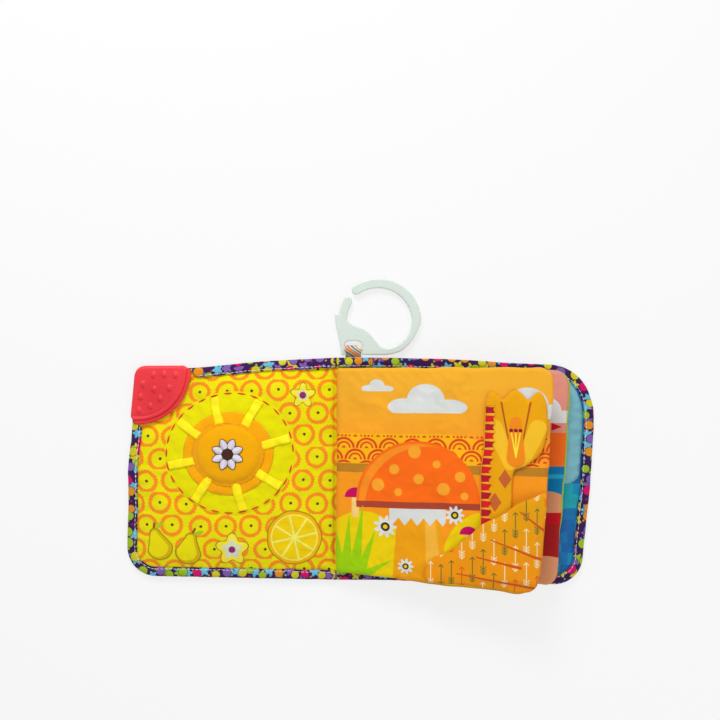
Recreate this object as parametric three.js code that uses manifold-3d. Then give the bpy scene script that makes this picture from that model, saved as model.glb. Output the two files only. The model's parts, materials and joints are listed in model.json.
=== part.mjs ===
// Crinkle cloth book for a baby, lying open on its back.
//
// Two padded covers and two padded leaves are sewn to a soft spine. A silicone teether
// fills one cover corner, a quilted sun is sewn on the inside page, a die-cut figure
// slides in a pocket on the top leaf, and a plastic link hangs from a ribbon loop.
//
// Millimetres. X runs from the front cover (left) to the back cover (right), Y from the
// foot of the pages to their head, Z up. The origin is the middle of the spine's underside.

import * as THREE from 'three';
import { mergeVertices } from 'three/addons/utils/BufferGeometryUtils.js';
import Module from 'manifold-3d';

const wasm = await Module();
wasm.setup();

// Cloth, tape, film and clearances.

const cloth = 1.1;
const leafCloth = 0.9;
const tape = 1.0;
const film = 0.4;
const felt = 0.8;
const gap = 0.3;
const drapeGap = 0.6;
const coverPuff = 5.0;

// Spine and covers. The fore edges lie a little askew, as soft covers do.

const spineHalf = 14.0;
const foldGap = 0.6;
const headHalf = 84.5;
const bindWidth = 8.6;
const bindRound = 1.8;

const frontReachHead = 165.5;
const frontReachFoot = 174.5;
const frontHeadDrop = 7.5;
const frontFootDrop = 3.3;
const frontHead = headHalf - frontHeadDrop;
const frontFoot = headHalf - frontFootDrop;
const frontCornerRadius = 22.0;

const backReachHead = 181.5;
const backReachFoot = 171.5;
const backHeadDrop = 3.0;
const backFootFlare = 4.0;
const backHead = headHalf - backHeadDrop;
const backFoot = headHalf + backFootFlare;
const backHeadRadius = 33.0;
const backFootRadius = 22.0;

const foldCornerRadius = 0.8;

// How far from the edge, and from the fold, a cover's padding is full.

const coverSlopeWidth = 64.0;
const coverInsetShares = [0.3125, 0.65625, 1];
const foldSlopeWidth = 60.0;
const foldInsetShares = [0.2, 0.633, 1];

// Leaves: root line, fore edge, and the rise of each leaf from the seam.

const leafMargin = 8.0;
const leafHalf = headHalf - leafMargin;
const leafHalfEdge = 1.15;
const leafPuff = 1.6;
const leafSlopeWidth = 62.0;
const leafInsetShares = [0, 0.097, 0.29, 0.645, 1];

const topLeafRoot = 13.6;
const topLeafReachHead = 143.0;
const topLeafReachFoot = 135.5;
const topLeafHeadFlare = 1.3;
const topLeafFootFlare = 7.7;
const topLeafHead = leafHalf + topLeafHeadFlare;
const topLeafFoot = leafHalf + topLeafFootFlare;
const topLeafRootHeight = 10.1;
const topLeafRise = 8.0;
const topLeafCurl = 27.0;

const lowLeafRoot = 10.6;
const lowLeafReachHead = 160.0;
const lowLeafReachFoot = 150.5;
const lowLeafHeadDrop = 1.0;
const lowLeafFootFlare = 9.3;
const lowLeafHead = leafHalf - lowLeafHeadDrop;
const lowLeafFoot = leafHalf + lowLeafFootFlare;
const lowLeafRootHeight = 7.4;
const lowLeafRise = 5.2;
const lowLeafCurl = 4.5;

const leafHeadRadius = 11.5;
const leafFootRadius = 9.5;

// Gutter seam that the leaves are sewn to.

const seamWidth = 6.0;
const seamMargin = 2.5;
const seamHalf = leafHalf - seamMargin;
const spineBattingMargin = 16.5;
const spineBattingHalf = headHalf - spineBattingMargin;

// Silicone teether in the head corner of the front cover.

const teetherRadius = 40.0;
const teetherOverhang = 1.4;
const teetherLow = 0.6;
const teetherHigh = 8.2;
const teetherEdge = 1.2;
const teetherCornerRadius = 5.0;
const flangeReach = 6.0;
const flangeThick = 0.9;
const flangeTuck = 3.0;
const ridgeInset = 2.6;
const ridgeRadius = 0.9;
const nubRadius = 1.9;
const nubRise = 0.9;

// Nubs across and down from the cover's corner, as shares of the teether's radius.

const nubShares = [
  [0.363, 0.165],
  [0.578, 0.158],
  [0.81, 0.17],
  [0.17, 0.353],
  [0.405, 0.443],
  [0.71, 0.42],
  [0.143, 0.595],
  [0.55, 0.62],
  [0.135, 0.845],
  [0.365, 0.76],
];

// Quilted sun on the front cover's inside page.

const sunX = -93.9;
const sunY = 11.2;
const sunBaseRadius = 46.7;
const sunRingRadius = 33.1;
const sunRingHole = 20.0;
const sunDiscRadius = 24.8;
const sunDome = 3.4;
const sunSeam = 3.2;
const rayWidth = 6.8;
const rayTuck = 1.8;
const rayCount = 8;
const rayTurn = 14 * Math.PI / 180;

// Pocket and sliding figure on the top leaf.

const figureThick = 1.8;
const figureStemInset = 52.0;
const figureStemLeft = topLeafReachHead - figureStemInset;
const figureStemWidth = 22.0;
const figureFoot = -48.0;
const figureHeadInset = 27.5;
const figureHeadX = topLeafReachHead - figureHeadInset;
const figureHeadY = 33.0;
const figureHeadWidth = 44.0;
const figureHeadHeight = 58.0;
const petalDip = 9.0;
const trimWidth = 6.4;
const trimTooth = 2.6;
const trimPitch = 6.6;
const trimFoot = -44.0;
const trimHead = 24.0;
const pocketInset = 2.4;
const pocketTipReach = 39.0;
const pocketTipX = figureStemLeft - pocketTipReach;
const pocketFootInset = 5.7;
const pocketTipY = pocketFootInset - topLeafFoot;
const pocketMouthHead = -17.0;
const pocketSeam = 9.0;

// Satin panel on the inside of the back cover.

const satinGap = 0.8;
const satinWidth = 86.5;
const satinRoot = backReachHead - satinWidth;
const satinFoot = -14.0;
const satinMargin = 10.6;
const satinHeadRadius = 22.0;
const satinFootRadius = 15.0;

// Ribbon loop and plastic link.

const ribbonWidth = 12.0;
const ribbonThick = 0.8;
const ribbonX = -1.5;
const barRadius = 1.6;
const barOffset = 6.5;
const barHeight = 2.9;
const barClearance = 0.35;
const linkThick = 4.6;
const linkBevel = 0.9;
const linkX = 17.3;
const linkCentreOffset = 27.1;
const linkRadius = 33.0;
const linkBand = 7.1;
const linkFootOffset = 2.1;
const linkSlotWidth = 13.4;
const linkSlotTop = 12.9;
const linkArmEnd = 124 * Math.PI / 180;
const linkArmStart = 3.4 * Math.PI / 180;
const tongueRadius = 3.2;
const tongueTurn = 17 * Math.PI / 180;
const ribbonNeckTurn = 109 * Math.PI / 180;

// The link's free curves as shares of its outer radius, from the ring's centre.

const linkShoulderShares = [[0.533, -0.673], [0.824, -0.376], [0.97, -0.048]];
const linkLobeShares = [
  [0.724, -0.261],
  [0.567, -0.455],
  [0.355, -0.576],
  [0.179, -0.606],
  [0.033, -0.552],
  [-0.118, -0.352],
  [-0.327, -0.164],
  [-0.585, -0.073],
  [-0.715, 0.027],
];
const linkNeckShares = [[-0.7, 0.224], [-0.618, 0.412]];
const linkTongueShare = [-0.694, 0.491];
const linkBackShares = [[-0.861, 0.348], [-0.894, 0.194]];
const linkStepShare = 0.185;
const linkHeelShares = [[-0.982, -0.021], [-0.927, -0.261], [-0.87, -0.545]];

// Materials.

function paint(hex, roughness, metalness = 0) {
  return new THREE.MeshStandardMaterial({ color: hex, roughness, metalness });
}

const look = {
  binding: paint(0x3a1459, 0.85),
  yellow: paint(0xece400, 0.9),
  sky: paint(0xf7a02a, 0.9),
  coral: paint(0xf08a70, 0.9),
  lime: paint(0xa8c91a, 0.9),
  blue: paint(0x0a7fb5, 0.85),
  teal: paint(0x7fb9c2, 0.45),
  batting: paint(0xf2f0ea, 1.0),
  film: paint(0xdfe6ea, 0.3),
  silicone: paint(0xe8393f, 0.55),
  sunBase: paint(0xe8e000, 0.9),
  sunRing: paint(0xf9a700, 0.9),
  ray: paint(0xffee00, 0.5),
  red: paint(0xd8261c, 0.85),
  figure: paint(0xeca900, 0.9),
  pocket: paint(0xf0a020, 0.9),
  ribbon: paint(0xe9d9c0, 0.6),
  plastic: paint(0xd5e0d8, 0.4),
};

const book = new THREE.Group();

function addPart(name, geometry, material) {
  const mesh = new THREE.Mesh(geometry, material);
  mesh.name = name;
  book.add(mesh);
  return mesh;
}

// Closed bodies from points.

function bodyFrom(points, triangles) {
  const geometry = new THREE.BufferGeometry();
  geometry.setAttribute('position', new THREE.Float32BufferAttribute(points.flat(), 3));
  geometry.setIndex(triangles.flat());
  geometry.computeVertexNormals();
  return geometry;
}

// A padded sheet: rings of plan points from the edge inwards, closed by one middle point,
// with a lower and an upper height for each ring.
function sheetBody(rings, low, high) {
  const count = rings[0].length;
  const last = rings.length - 1;
  const middle = rings[last].reduce((sum, p) => sum.add(p), new THREE.Vector2());
  middle.divideScalar(count);
  const points = [];
  for (const height of [low, high]) {
    rings.forEach((ring, k) => {
      for (const p of ring) points.push([p.x, p.y, height(k, p.x, p.y)]);
    });
    points.push([middle.x, middle.y, height(last + 1, middle.x, middle.y)]);
  }
  const upper = rings.length * count + 1;
  const triangles = [];
  for (let i = 0; i < count; i += 1) {
    const j = (i + 1) % count;
    for (let k = 0; k < last; k += 1) {
      const a = k * count + i;
      const b = k * count + j;
      const c = a + count;
      const d = b + count;
      triangles.push([upper + a, upper + b, upper + d], [upper + a, upper + d, upper + c]);
      triangles.push([a, d, b], [a, c, d]);
    }
    const e = last * count;
    triangles.push([upper + e + i, upper + e + j, upper + upper - 1], [e + j, e + i, upper - 1]);
    triangles.push([i, j, upper + j], [i, upper + j, upper + i]);
  }
  return bodyFrom(points, triangles);
}

// A tape of constant section along open rails, one rail for each corner of the section.
function railBody(rails, heights) {
  const corners = rails.length;
  const steps = rails[0].length;
  const points = [];
  for (let i = 0; i < steps; i += 1) {
    rails.forEach((rail, m) => points.push([rail[i].x, rail[i].y, heights[m]]));
  }
  const triangles = [];
  for (let i = 0; i < steps - 1; i += 1) {
    for (let m = 0; m < corners; m += 1) {
      const n = (m + 1) % corners;
      const a = i * corners + m;
      const b = i * corners + n;
      triangles.push([a, b, b + corners], [a, b + corners, a + corners]);
    }
  }
  const start = rails.map((rail, m) => new THREE.Vector2(rail[0].distanceTo(rails[0][0]), heights[m]));
  const end = (steps - 1) * corners;
  const faces = THREE.ShapeUtils.triangulateShape(start, []);
  const [first] = faces;
  const turned = THREE.ShapeUtils.area(first.map((m) => start[m])) * THREE.ShapeUtils.area(start) < 0;
  for (const face of faces) {
    const [a, b, c] = turned ? face.reverse() : face;
    triangles.push([a, c, b], [end + a, end + b, end + c]);
  }
  return faceOut(bodyFrom(points, triangles));
}

// Turns every face of a closed body when its volume comes out negative.
function faceOut(geometry) {
  const p = geometry.attributes.position;
  const index = geometry.index.array;
  let volume = 0;
  const corner = [new THREE.Vector3(), new THREE.Vector3(), new THREE.Vector3()];
  for (let i = 0; i < index.length; i += 3) {
    corner.forEach((v, n) => v.fromBufferAttribute(p, index[i + n]));
    volume += corner[0].dot(corner[1].clone().cross(corner[2]));
  }
  if (volume < 0) {
    for (let i = 0; i < index.length; i += 3) {
      [index[i], index[i + 1]] = [index[i + 1], index[i]];
    }
  }
  return geometry;
}

// Joins and cuts.

function solidOf(geometry) {
  const bare = geometry.clone();
  bare.deleteAttribute('normal');
  bare.deleteAttribute('uv');
  const merged = mergeVertices(bare);
  return new wasm.Manifold(new wasm.Mesh({
    numProp: 3,
    vertProperties: new Float32Array(merged.attributes.position.array),
    triVerts: new Uint32Array(merged.index.array),
  }));
}

function geometryOf(solid) {
  const mesh = solid.getMesh();
  const geometry = new THREE.BufferGeometry();
  geometry.setAttribute('position', new THREE.Float32BufferAttribute(mesh.vertProperties, 3));
  geometry.setIndex(new THREE.Uint32BufferAttribute(mesh.triVerts, 1));
  geometry.computeVertexNormals();
  return geometry;
}

// Outlines. A pad has four corners, counter-clockwise from above, and its last edge lies
// on the fold. A corner has a radius, or a bite: a round notch about the corner itself.

const cornerSteps = 3;
const biteSteps = 7;

function edgeLine(pad, edge, inset) {
  const a = pad.corners[edge];
  const b = pad.corners[(edge + 1) % pad.corners.length];
  const along = new THREE.Vector2(b.x - a.x, b.y - a.y).normalize();
  const inward = new THREE.Vector2(-along.y, along.x);
  return { start: new THREE.Vector2(a.x, a.y).addScaledVector(inward, inset), along, inward };
}

function crossing(first, second) {
  const between = second.start.clone().sub(first.start);
  const t = between.cross(second.along) / first.along.cross(second.along);
  return first.start.clone().addScaledVector(first.along, t);
}

function arcPoints(centre, from, to, steps) {
  const a = from.clone().sub(centre);
  const b = to.clone().sub(centre);
  const sweep = Math.atan2(a.cross(b), a.dot(b));
  const points = [];
  for (let i = 0; i <= steps; i += 1) {
    points.push(a.clone().rotateAround(new THREE.Vector2(), sweep * i / steps).add(centre));
  }
  return points;
}

function cornerPoints(pad, index, inset, before, after) {
  const corner = pad.corners[index];
  if (corner.bite) {
    const centre = new THREE.Vector2(corner.x, corner.y);
    const radius = corner.bite + inset;
    const reach = Math.sqrt(radius * radius - inset * inset);
    const from = centre.clone().addScaledVector(before.inward, inset).addScaledVector(before.along, -reach);
    const to = centre.clone().addScaledVector(after.inward, inset).addScaledVector(after.along, reach);
    return arcPoints(centre, from, to, biteSteps);
  }
  const tip = crossing(before, after);
  const radius = Math.max(corner.radius - inset, foldCornerRadius);
  const half = Math.acos(-before.along.dot(after.along)) / 2;
  const reach = radius / Math.tan(half);
  const from = tip.clone().addScaledVector(before.along, -reach);
  const to = tip.clone().addScaledVector(after.along, reach);
  const centre = from.clone().addScaledVector(before.inward, radius);
  return arcPoints(centre, from, to, cornerSteps);
}

// Plan points of a pad's outline moved inwards. Marks hold where each corner starts and ends.
function outline(pad, inset, foldInset = inset) {
  const lines = pad.corners.map((_, e) => edgeLine(pad, e, e === 3 ? foldInset : inset));
  const arcs = pad.corners.map((_, c) => cornerPoints(pad, c, inset, lines[(c + 3) % 4], lines[c]));
  const points = [];
  const marks = [];
  arcs.forEach((arc, c) => {
    marks.push([points.length, points.length + arc.length - 1]);
    points.push(...arc);
    const from = arc[arc.length - 1];
    const to = arcs[(c + 1) % 4][0];
    const steps = pad.steps[c];
    for (let i = 1; i < steps; i += 1) {
      points.push(from.clone().lerp(to, i / steps));
    }
  });
  points.marks = marks;
  return points;
}

const frontPad = {
  corners: [
    { x: -spineHalf - foldGap, y: headHalf, radius: foldCornerRadius },
    { x: -frontReachHead, y: frontHead, bite: teetherRadius + gap },
    { x: -frontReachFoot, y: -frontFoot, radius: frontCornerRadius },
    { x: -spineHalf - foldGap, y: -headHalf, radius: foldCornerRadius },
  ],
  steps: [4, 4, 5, 5],
};

const backPad = {
  corners: [
    { x: spineHalf + foldGap, y: -headHalf, radius: foldCornerRadius },
    { x: backReachFoot, y: -backFoot, radius: backFootRadius },
    { x: backReachHead, y: backHead, radius: backHeadRadius },
    { x: spineHalf + foldGap, y: headHalf, radius: foldCornerRadius },
  ],
  steps: [5, 4, 5, 5],
};

function leafPad(root, reachHead, reachFoot, head, foot) {
  return {
    corners: [
      { x: -root, y: -leafHalf, radius: foldCornerRadius },
      { x: reachFoot, y: -foot, radius: leafFootRadius },
      { x: reachHead, y: head, radius: leafHeadRadius },
      { x: -root, y: leafHalf, radius: foldCornerRadius },
    ],
    steps: [7, 4, 7, 4],
  };
}

const topLeafPad = leafPad(topLeafRoot, topLeafReachHead, topLeafReachFoot, topLeafHead, topLeafFoot);
const lowLeafPad = leafPad(lowLeafRoot, lowLeafReachHead, lowLeafReachFoot, lowLeafHead, lowLeafFoot);

// Covers: rings inwards from the edge, and how full the padding is at each of them.

const tapeTurnShare = 1.2;
const coverInsets = [
  tape + gap,
  bindWidth + tapeTurnShare * cloth,
  ...coverInsetShares.map((share) => share * coverSlopeWidth),
];
const coverFoldInsets = [0, cloth, ...foldInsetShares.map((share) => share * foldSlopeWidth)];
const coverFullShares = [0, 0, 0.5, 0.88, 1, 1];
const battingFrom = 2;

const edgeLift = tape + gap;
const outerTop = edgeLift + cloth;
const pageLow = outerTop + gap;
const boundHeight = pageLow + cloth + gap + tape;

function coverRings(pad) {
  return coverInsets.map((inset, k) => outline(pad, inset, coverFoldInsets[k]));
}

function outerPanelLow(k) {
  return k < battingFrom ? edgeLift : 0;
}

function pageUnder(k) {
  return pageLow + coverPuff * coverFullShares[k];
}

// Height of the inside page's upper face, from the distance to the nearest edge.
function pageTop(pad, x, y) {
  const p = new THREE.Vector2(x, y);
  let share = 1;
  pad.corners.forEach((corner, e) => {
    const line = edgeLine(pad, e, 0);
    const insets = e === 3 ? coverFoldInsets : coverInsets;
    const away = p.clone().sub(line.start).dot(line.inward);
    share = Math.min(share, fullShareAt(away, insets));
    if (corner.bite) {
      share = Math.min(share, fullShareAt(Math.hypot(x - corner.x, y - corner.y) - corner.bite, coverInsets));
    }
  });
  return pageLow + cloth + coverPuff * share;
}

function fullShareAt(away, insets) {
  for (let k = 1; k < insets.length; k += 1) {
    if (away < insets[k]) {
      const t = Math.max(0, (away - insets[k - 1]) / (insets[k] - insets[k - 1]));
      return THREE.MathUtils.lerp(coverFullShares[k - 1], coverFullShares[k], t);
    }
  }
  return 1;
}

// Folded tape round the bound edges: its section in distance from the edge and height.
const tapeSection = [
  [bindWidth, boundHeight],
  [bindRound, boundHeight],
  [bindRound / 4, boundHeight - tape],
  [0, boundHeight / 2],
  [bindRound / 4, tape],
  [bindRound, 0],
  [bindWidth, 0],
  [bindWidth, tape],
  [tape, tape],
  [tape, boundHeight - tape],
  [bindWidth, boundHeight - tape],
];

function bindingBody(pad, from, to) {
  const rails = tapeSection.map(([inset]) => outline(pad, inset, 0).slice(from, to + 1));
  return railBody(rails, tapeSection.map(([, height]) => height));
}

function addCover(prefix, pad, outside, inside) {
  const rings = coverRings(pad);
  const inner = rings.slice(battingFrom);
  addPart(`${prefix}_outer_panel`, sheetBody(rings, outerPanelLow, (k) => outerPanelLow(k) + cloth), outside);
  addPart(
    `${prefix}_batting`,
    sheetBody(inner, () => cloth + gap, (k) => pageUnder(k + battingFrom) - 2 * gap - film),
    look.batting,
  );
  addPart(
    `${prefix}_crinkle_film`,
    sheetBody(inner, (k) => pageUnder(k + battingFrom) - gap - film, (k) => pageUnder(k + battingFrom) - gap),
    look.film,
  );
  addPart(`${prefix}_inside_page`, sheetBody(rings, pageUnder, (k) => pageUnder(k) + cloth), inside);
}

addCover('front_cover', frontPad, look.binding, look.yellow);
addCover('back_cover', backPad, look.binding, look.blue);

const frontMarks = outline(frontPad, 0, 0).marks;
const backMarks = outline(backPad, 0, 0).marks;
addPart('front_binding_head', bindingBody(frontPad, frontMarks[0][1], frontMarks[1][0]), look.binding);
addPart('front_binding_side', bindingBody(frontPad, frontMarks[1][1], frontMarks[3][0]), look.binding);
addPart('back_binding', bindingBody(backPad, backMarks[0][1], backMarks[3][0]), look.binding);

// Spine: flat strips between the folds, drawn as a side view along Y and run across X.

function stripBody(profile, left, right) {
  const shape = new THREE.Shape(profile.map(([y, z]) => new THREE.Vector2(y, z)));
  const geometry = new THREE.ExtrudeGeometry(shape, { depth: right - left, bevelEnabled: false });
  const turn = new THREE.Matrix4().makeBasis(
    new THREE.Vector3(0, 1, 0),
    new THREE.Vector3(0, 0, 1),
    new THREE.Vector3(1, 0, 0),
  );
  geometry.applyMatrix4(turn);
  geometry.translate(left, 0, 0);
  return geometry;
}

// A strip that lies at one height in the middle and at another under the end tapes.
function dippedProfile(half, edge, middle, thick) {
  const bend = half - bindWidth;
  const flat = bend - bindWidth / 2;
  const under = [[-half, edge], [-bend, edge], [-flat, middle], [flat, middle], [bend, edge], [half, edge]];
  const over = under.map(([y, z]) => [y, z + thick]).reverse();
  return [...under, ...over];
}

const spineEnd = headHalf - tape - gap;
const gutterHeight = cloth + gap + cloth + gap;

addPart('spine_outer_panel', stripBody(dippedProfile(spineEnd, edgeLift, 0, cloth), -spineHalf, spineHalf), look.binding);
addPart(
  'spine_batting',
  stripBody(
    [
      [-spineBattingHalf, cloth + gap],
      [spineBattingHalf, cloth + gap],
      [spineBattingHalf, gutterHeight - gap],
      [-spineBattingHalf, gutterHeight - gap],
    ],
    gap - spineHalf,
    spineHalf - gap,
  ),
  look.batting,
);
addPart(
  'spine_gutter_strip',
  stripBody(dippedProfile(spineEnd, pageLow, gutterHeight, cloth), -spineHalf, spineHalf),
  look.yellow,
);
for (const [name, side] of [['spine_binding_head', 1], ['spine_binding_foot', -1]]) {
  const section = tapeSection.map(([inset, height]) => [side * (headHalf - inset), height]);
  addPart(name, stripBody(side > 0 ? section : section.reverse(), -spineHalf, spineHalf), look.binding);
}

const seamLow = gutterHeight + cloth + gap;
addPart(
  'gutter_seam_tape',
  stripBody(
    [[-seamHalf, seamLow], [seamHalf, seamLow], [seamHalf, seamLow + tape], [-seamHalf, seamLow + tape]],
    -spineHalf,
    seamWidth - spineHalf,
  ),
  look.sky,
);

// Leaves: two cloth panels over a crinkle film, rising from the seam to the fore edge.

const leafInsets = leafInsetShares.map((share) => share * leafSlopeWidth);
const leafFullShares = [0, 0.2, 0.6, 0.92, 1, 1];
const filmFrom = 1;

function topLeafMid(x) {
  const u = (x + topLeafRoot) / (topLeafRoot + topLeafReachHead);
  return topLeafRootHeight + topLeafRise * (1 - (1 - u) ** 4) + topLeafCurl * u * u;
}

function lowLeafMid(x) {
  const u = (x + lowLeafRoot) / (lowLeafRoot + lowLeafReachHead);
  return lowLeafRootHeight + lowLeafRise * (1 - (1 - u) ** 3) + lowLeafCurl * u * u;
}

function leafHalfThick(k) {
  return leafHalfEdge + leafPuff * leafFullShares[k];
}

function addLeaf(prefix, pad, mid, front, back) {
  const rings = leafInsets.map((inset) => outline(pad, inset));
  const inner = rings.slice(filmFrom);
  addPart(
    `${prefix}_front_panel`,
    sheetBody(rings, (k, x) => mid(x) + leafHalfThick(k) - leafCloth, (k, x) => mid(x) + leafHalfThick(k)),
    front,
  );
  addPart(`${prefix}_crinkle_film`, sheetBody(inner, (k, x) => mid(x) - film / 2, (k, x) => mid(x) + film / 2), look.film);
  addPart(
    `${prefix}_back_panel`,
    sheetBody(rings, (k, x) => mid(x) - leafHalfThick(k), (k, x) => mid(x) - leafHalfThick(k) + leafCloth),
    back,
  );
}

addLeaf('top_leaf', topLeafPad, topLeafMid, look.sky, look.coral);
addLeaf('low_leaf', lowLeafPad, lowLeafMid, look.coral, look.lime);

// Silicone teether: a rounded quarter disc with nubs, a ridge and a sewn flange.

const teetherCorner = new THREE.Vector2(-frontReachHead, frontHead);
const teetherRight = edgeLine(frontPad, 0, 0).along.clone().negate();
const teetherDown = edgeLine(frontPad, 1, 0).along;
const teetherFrom = Math.atan2(teetherDown.y, teetherDown.x);
const teetherSweep = Math.acos(teetherRight.dot(teetherDown));

function sector(inner, outer, extra) {
  const shape = new THREE.Shape();
  shape.absarc(0, 0, outer, teetherFrom - extra, teetherFrom + teetherSweep + extra, false);
  shape.absarc(0, 0, inner, teetherFrom + teetherSweep + extra, teetherFrom - extra, true);
  return shape;
}

function teetherBodyShape() {
  const out = teetherRight.clone().add(teetherDown).normalize().negate();
  const tip = out.clone().multiplyScalar(teetherOverhang * Math.SQRT2);
  const right = teetherRight.clone();
  const down = teetherDown.clone();
  const start = tip.clone().addScaledVector(right, teetherRadius);
  const end = tip.clone().addScaledVector(down, teetherRadius);
  const bevelled = teetherRadius - teetherEdge;
  const startAngle = Math.asin(start.clone().dot(new THREE.Vector2(-right.y, right.x)) / bevelled);
  const endAngle = Math.asin(end.clone().dot(new THREE.Vector2(-down.y, down.x)) / bevelled);
  const near = tip.clone().addScaledVector(right, teetherCornerRadius);
  const far = tip.clone().addScaledVector(down, teetherCornerRadius);
  const shape = new THREE.Shape();
  shape.moveTo(far.x, far.y);
  shape.absarc(
    0,
    0,
    bevelled,
    teetherFrom + endAngle,
    teetherFrom + teetherSweep + startAngle,
    false,
  );
  shape.lineTo(near.x, near.y);
  shape.quadraticCurveTo(tip.x, tip.y, far.x, far.y);
  return shape;
}

function raised(shape, low, high, bevel, steps) {
  const geometry = new THREE.ExtrudeGeometry(shape, {
    depth: high - low - 2 * bevel,
    bevelEnabled: bevel > 0,
    bevelThickness: bevel,
    bevelSize: bevel,
    bevelSegments: 2,
    curveSegments: steps,
  });
  geometry.translate(teetherCorner.x, teetherCorner.y, low + bevel);
  return geometry;
}

function nubPlace([across, down]) {
  return teetherRight.clone().multiplyScalar(across * teetherRadius).addScaledVector(teetherDown, down * teetherRadius);
}

function teetherSolid() {
  let solid = solidOf(raised(teetherBodyShape(), teetherLow, teetherHigh, teetherEdge, 12));
  const flangeLow = boundHeight + gap;
  const flange = raised(sector(teetherRadius - flangeTuck, teetherRadius + flangeReach, 0), flangeLow, flangeLow + flangeThick, 0, 12);
  solid = solid.add(solidOf(flange));
  const ridgeHigh = teetherHigh + ridgeRadius / 2;
  const ridge = raised(
    sector(teetherRadius - ridgeInset - ridgeRadius, teetherRadius - ridgeInset, -ridgeRadius / teetherRadius),
    teetherHigh - ridgeRadius,
    ridgeHigh,
    0,
    12,
  );
  solid = solid.add(solidOf(ridge));
  for (const place of nubShares.map(nubPlace)) {
    const nub = new THREE.SphereGeometry(nubRadius, 8, 6);
    nub.rotateX(Math.PI / 2);
    nub.translate(teetherCorner.x + place.x, teetherCorner.y + place.y, teetherHigh + nubRise - nubRadius);
    solid = solid.add(solidOf(nub));
  }
  return solid;
}

addPart('teether_corner', geometryOf(teetherSolid()), look.silicone);

// Quilted sun: base, ring, ribbon rays and a padded centre.

function circleRing(radius, steps) {
  const points = [];
  for (let i = 0; i < steps; i += 1) {
    const angle = 2 * Math.PI * i / steps;
    points.push(new THREE.Vector2(sunX + radius * Math.cos(angle), sunY + radius * Math.sin(angle)));
  }
  return points;
}

const sunSteps = 32;
const sunRingSteps = 24;
const sunBaseShares = [1, 0.78, 0.55, 0.3];

function sunPage(x, y) {
  return pageTop(frontPad, x, y);
}

const sunBaseLow = drapeGap;
const sunRingLow = sunBaseLow + felt + drapeGap;
const rayLow = sunRingLow + felt + gap;
const sunDiscLow = rayLow + felt + gap;

addPart(
  'sun_base',
  sheetBody(
    sunBaseShares.map((share) => circleRing(sunBaseRadius * share, sunSteps)),
    (k, x, y) => sunPage(x, y) + sunBaseLow,
    (k, x, y) => sunPage(x, y) + sunBaseLow + felt,
  ),
  look.sunBase,
);

function washerBody(outer, inner, steps, low, thick) {
  const rings = [circleRing(outer, steps), circleRing(inner, steps)];
  const points = [];
  for (const lift of [0, thick]) {
    for (const ring of rings) {
      for (const p of ring) points.push([p.x, p.y, sunPage(p.x, p.y) + low + lift]);
    }
  }
  const triangles = [];
  for (let i = 0; i < steps; i += 1) {
    const j = (i + 1) % steps;
    const [a, b, c, d] = [0, 1, 2, 3].map((n) => n * steps);
    triangles.push([c + i, c + j, d + j], [c + i, d + j, d + i]);
    triangles.push([a + i, b + j, a + j], [a + i, b + i, b + j]);
    triangles.push([a + i, a + j, c + j], [a + i, c + j, c + i]);
    triangles.push([b + i, d + j, b + j], [b + i, d + i, d + j]);
  }
  return bodyFrom(points, triangles);
}

addPart('sun_ring', washerBody(sunRingRadius, sunRingHole, sunRingSteps, sunRingLow, felt), look.sunRing);

function rayBody(angle) {
  const out = new THREE.Vector2(Math.cos(angle), Math.sin(angle));
  const side = new THREE.Vector2(-out.y, out.x);
  const from = sunDiscRadius - rayTuck;
  const to = sunBaseRadius - cloth;
  const steps = 3;
  const left = [];
  const right = [];
  for (let i = 0; i <= steps; i += 1) {
    const along = THREE.MathUtils.lerp(from, to, i / steps);
    const mid = new THREE.Vector2(sunX, sunY).addScaledVector(out, along);
    left.push(mid.clone().addScaledVector(side, rayWidth / 2));
    right.push(mid.clone().addScaledVector(side, -rayWidth / 2));
  }
  const plan = [...right, ...left.reverse()];
  const points = [];
  for (const lift of [0, felt]) {
    for (const p of plan) points.push([p.x, p.y, sunPage(p.x, p.y) + rayLow + lift]);
  }
  const count = plan.length;
  const triangles = [];
  for (let i = 0; i < count; i += 1) {
    const j = (i + 1) % count;
    triangles.push([i, j, count + j], [i, count + j, count + i]);
  }
  for (let i = 0; i < steps; i += 1) {
    const a = i;
    const b = i + 1;
    const c = count - 2 - i;
    const d = count - 1 - i;
    triangles.push([count + a, count + b, count + c], [count + a, count + c, count + d]);
    triangles.push([a, c, b], [a, d, c]);
  }
  return bodyFrom(points, triangles);
}

for (let n = 0; n < rayCount; n += 1) {
  addPart(`sun_ray_${n + 1}`, rayBody(rayTurn + 2 * Math.PI * n / rayCount), look.ray);
}

const discShares = [1, 0.86, 0.6, 0.3];
const domeShares = [0, 0.45, 0.86, 0.98, 1];

addPart(
  'sun_centre_cover',
  sheetBody(
    discShares.map((share) => circleRing(sunDiscRadius * share, sunRingSteps)),
    (k, x, y) => sunPage(x, y) + sunDiscLow + sunDome * domeShares[k],
    (k, x, y) => sunPage(x, y) + sunDiscLow + sunDome * domeShares[k] + felt,
  ),
  look.sunRing,
);
addPart(
  'sun_centre_filling',
  sheetBody(
    discShares.slice(1).map((share) => circleRing(sunDiscRadius * share - sunSeam / 2, sunRingSteps)),
    (k, x, y) => sunPage(x, y) + rayLow + felt + gap,
    (k, x, y) => sunPage(x, y) + sunDiscLow + sunDome * domeShares[k + 1] - gap - felt / 4,
  ),
  look.batting,
);

// Satin panel over the head part of the back cover's inside page.

function foreEdge(pad, y) {
  const line = edgeLine(pad, 1, 0);
  return line.start.x + line.along.x * (y - line.start.y) / line.along.y;
}

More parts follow.
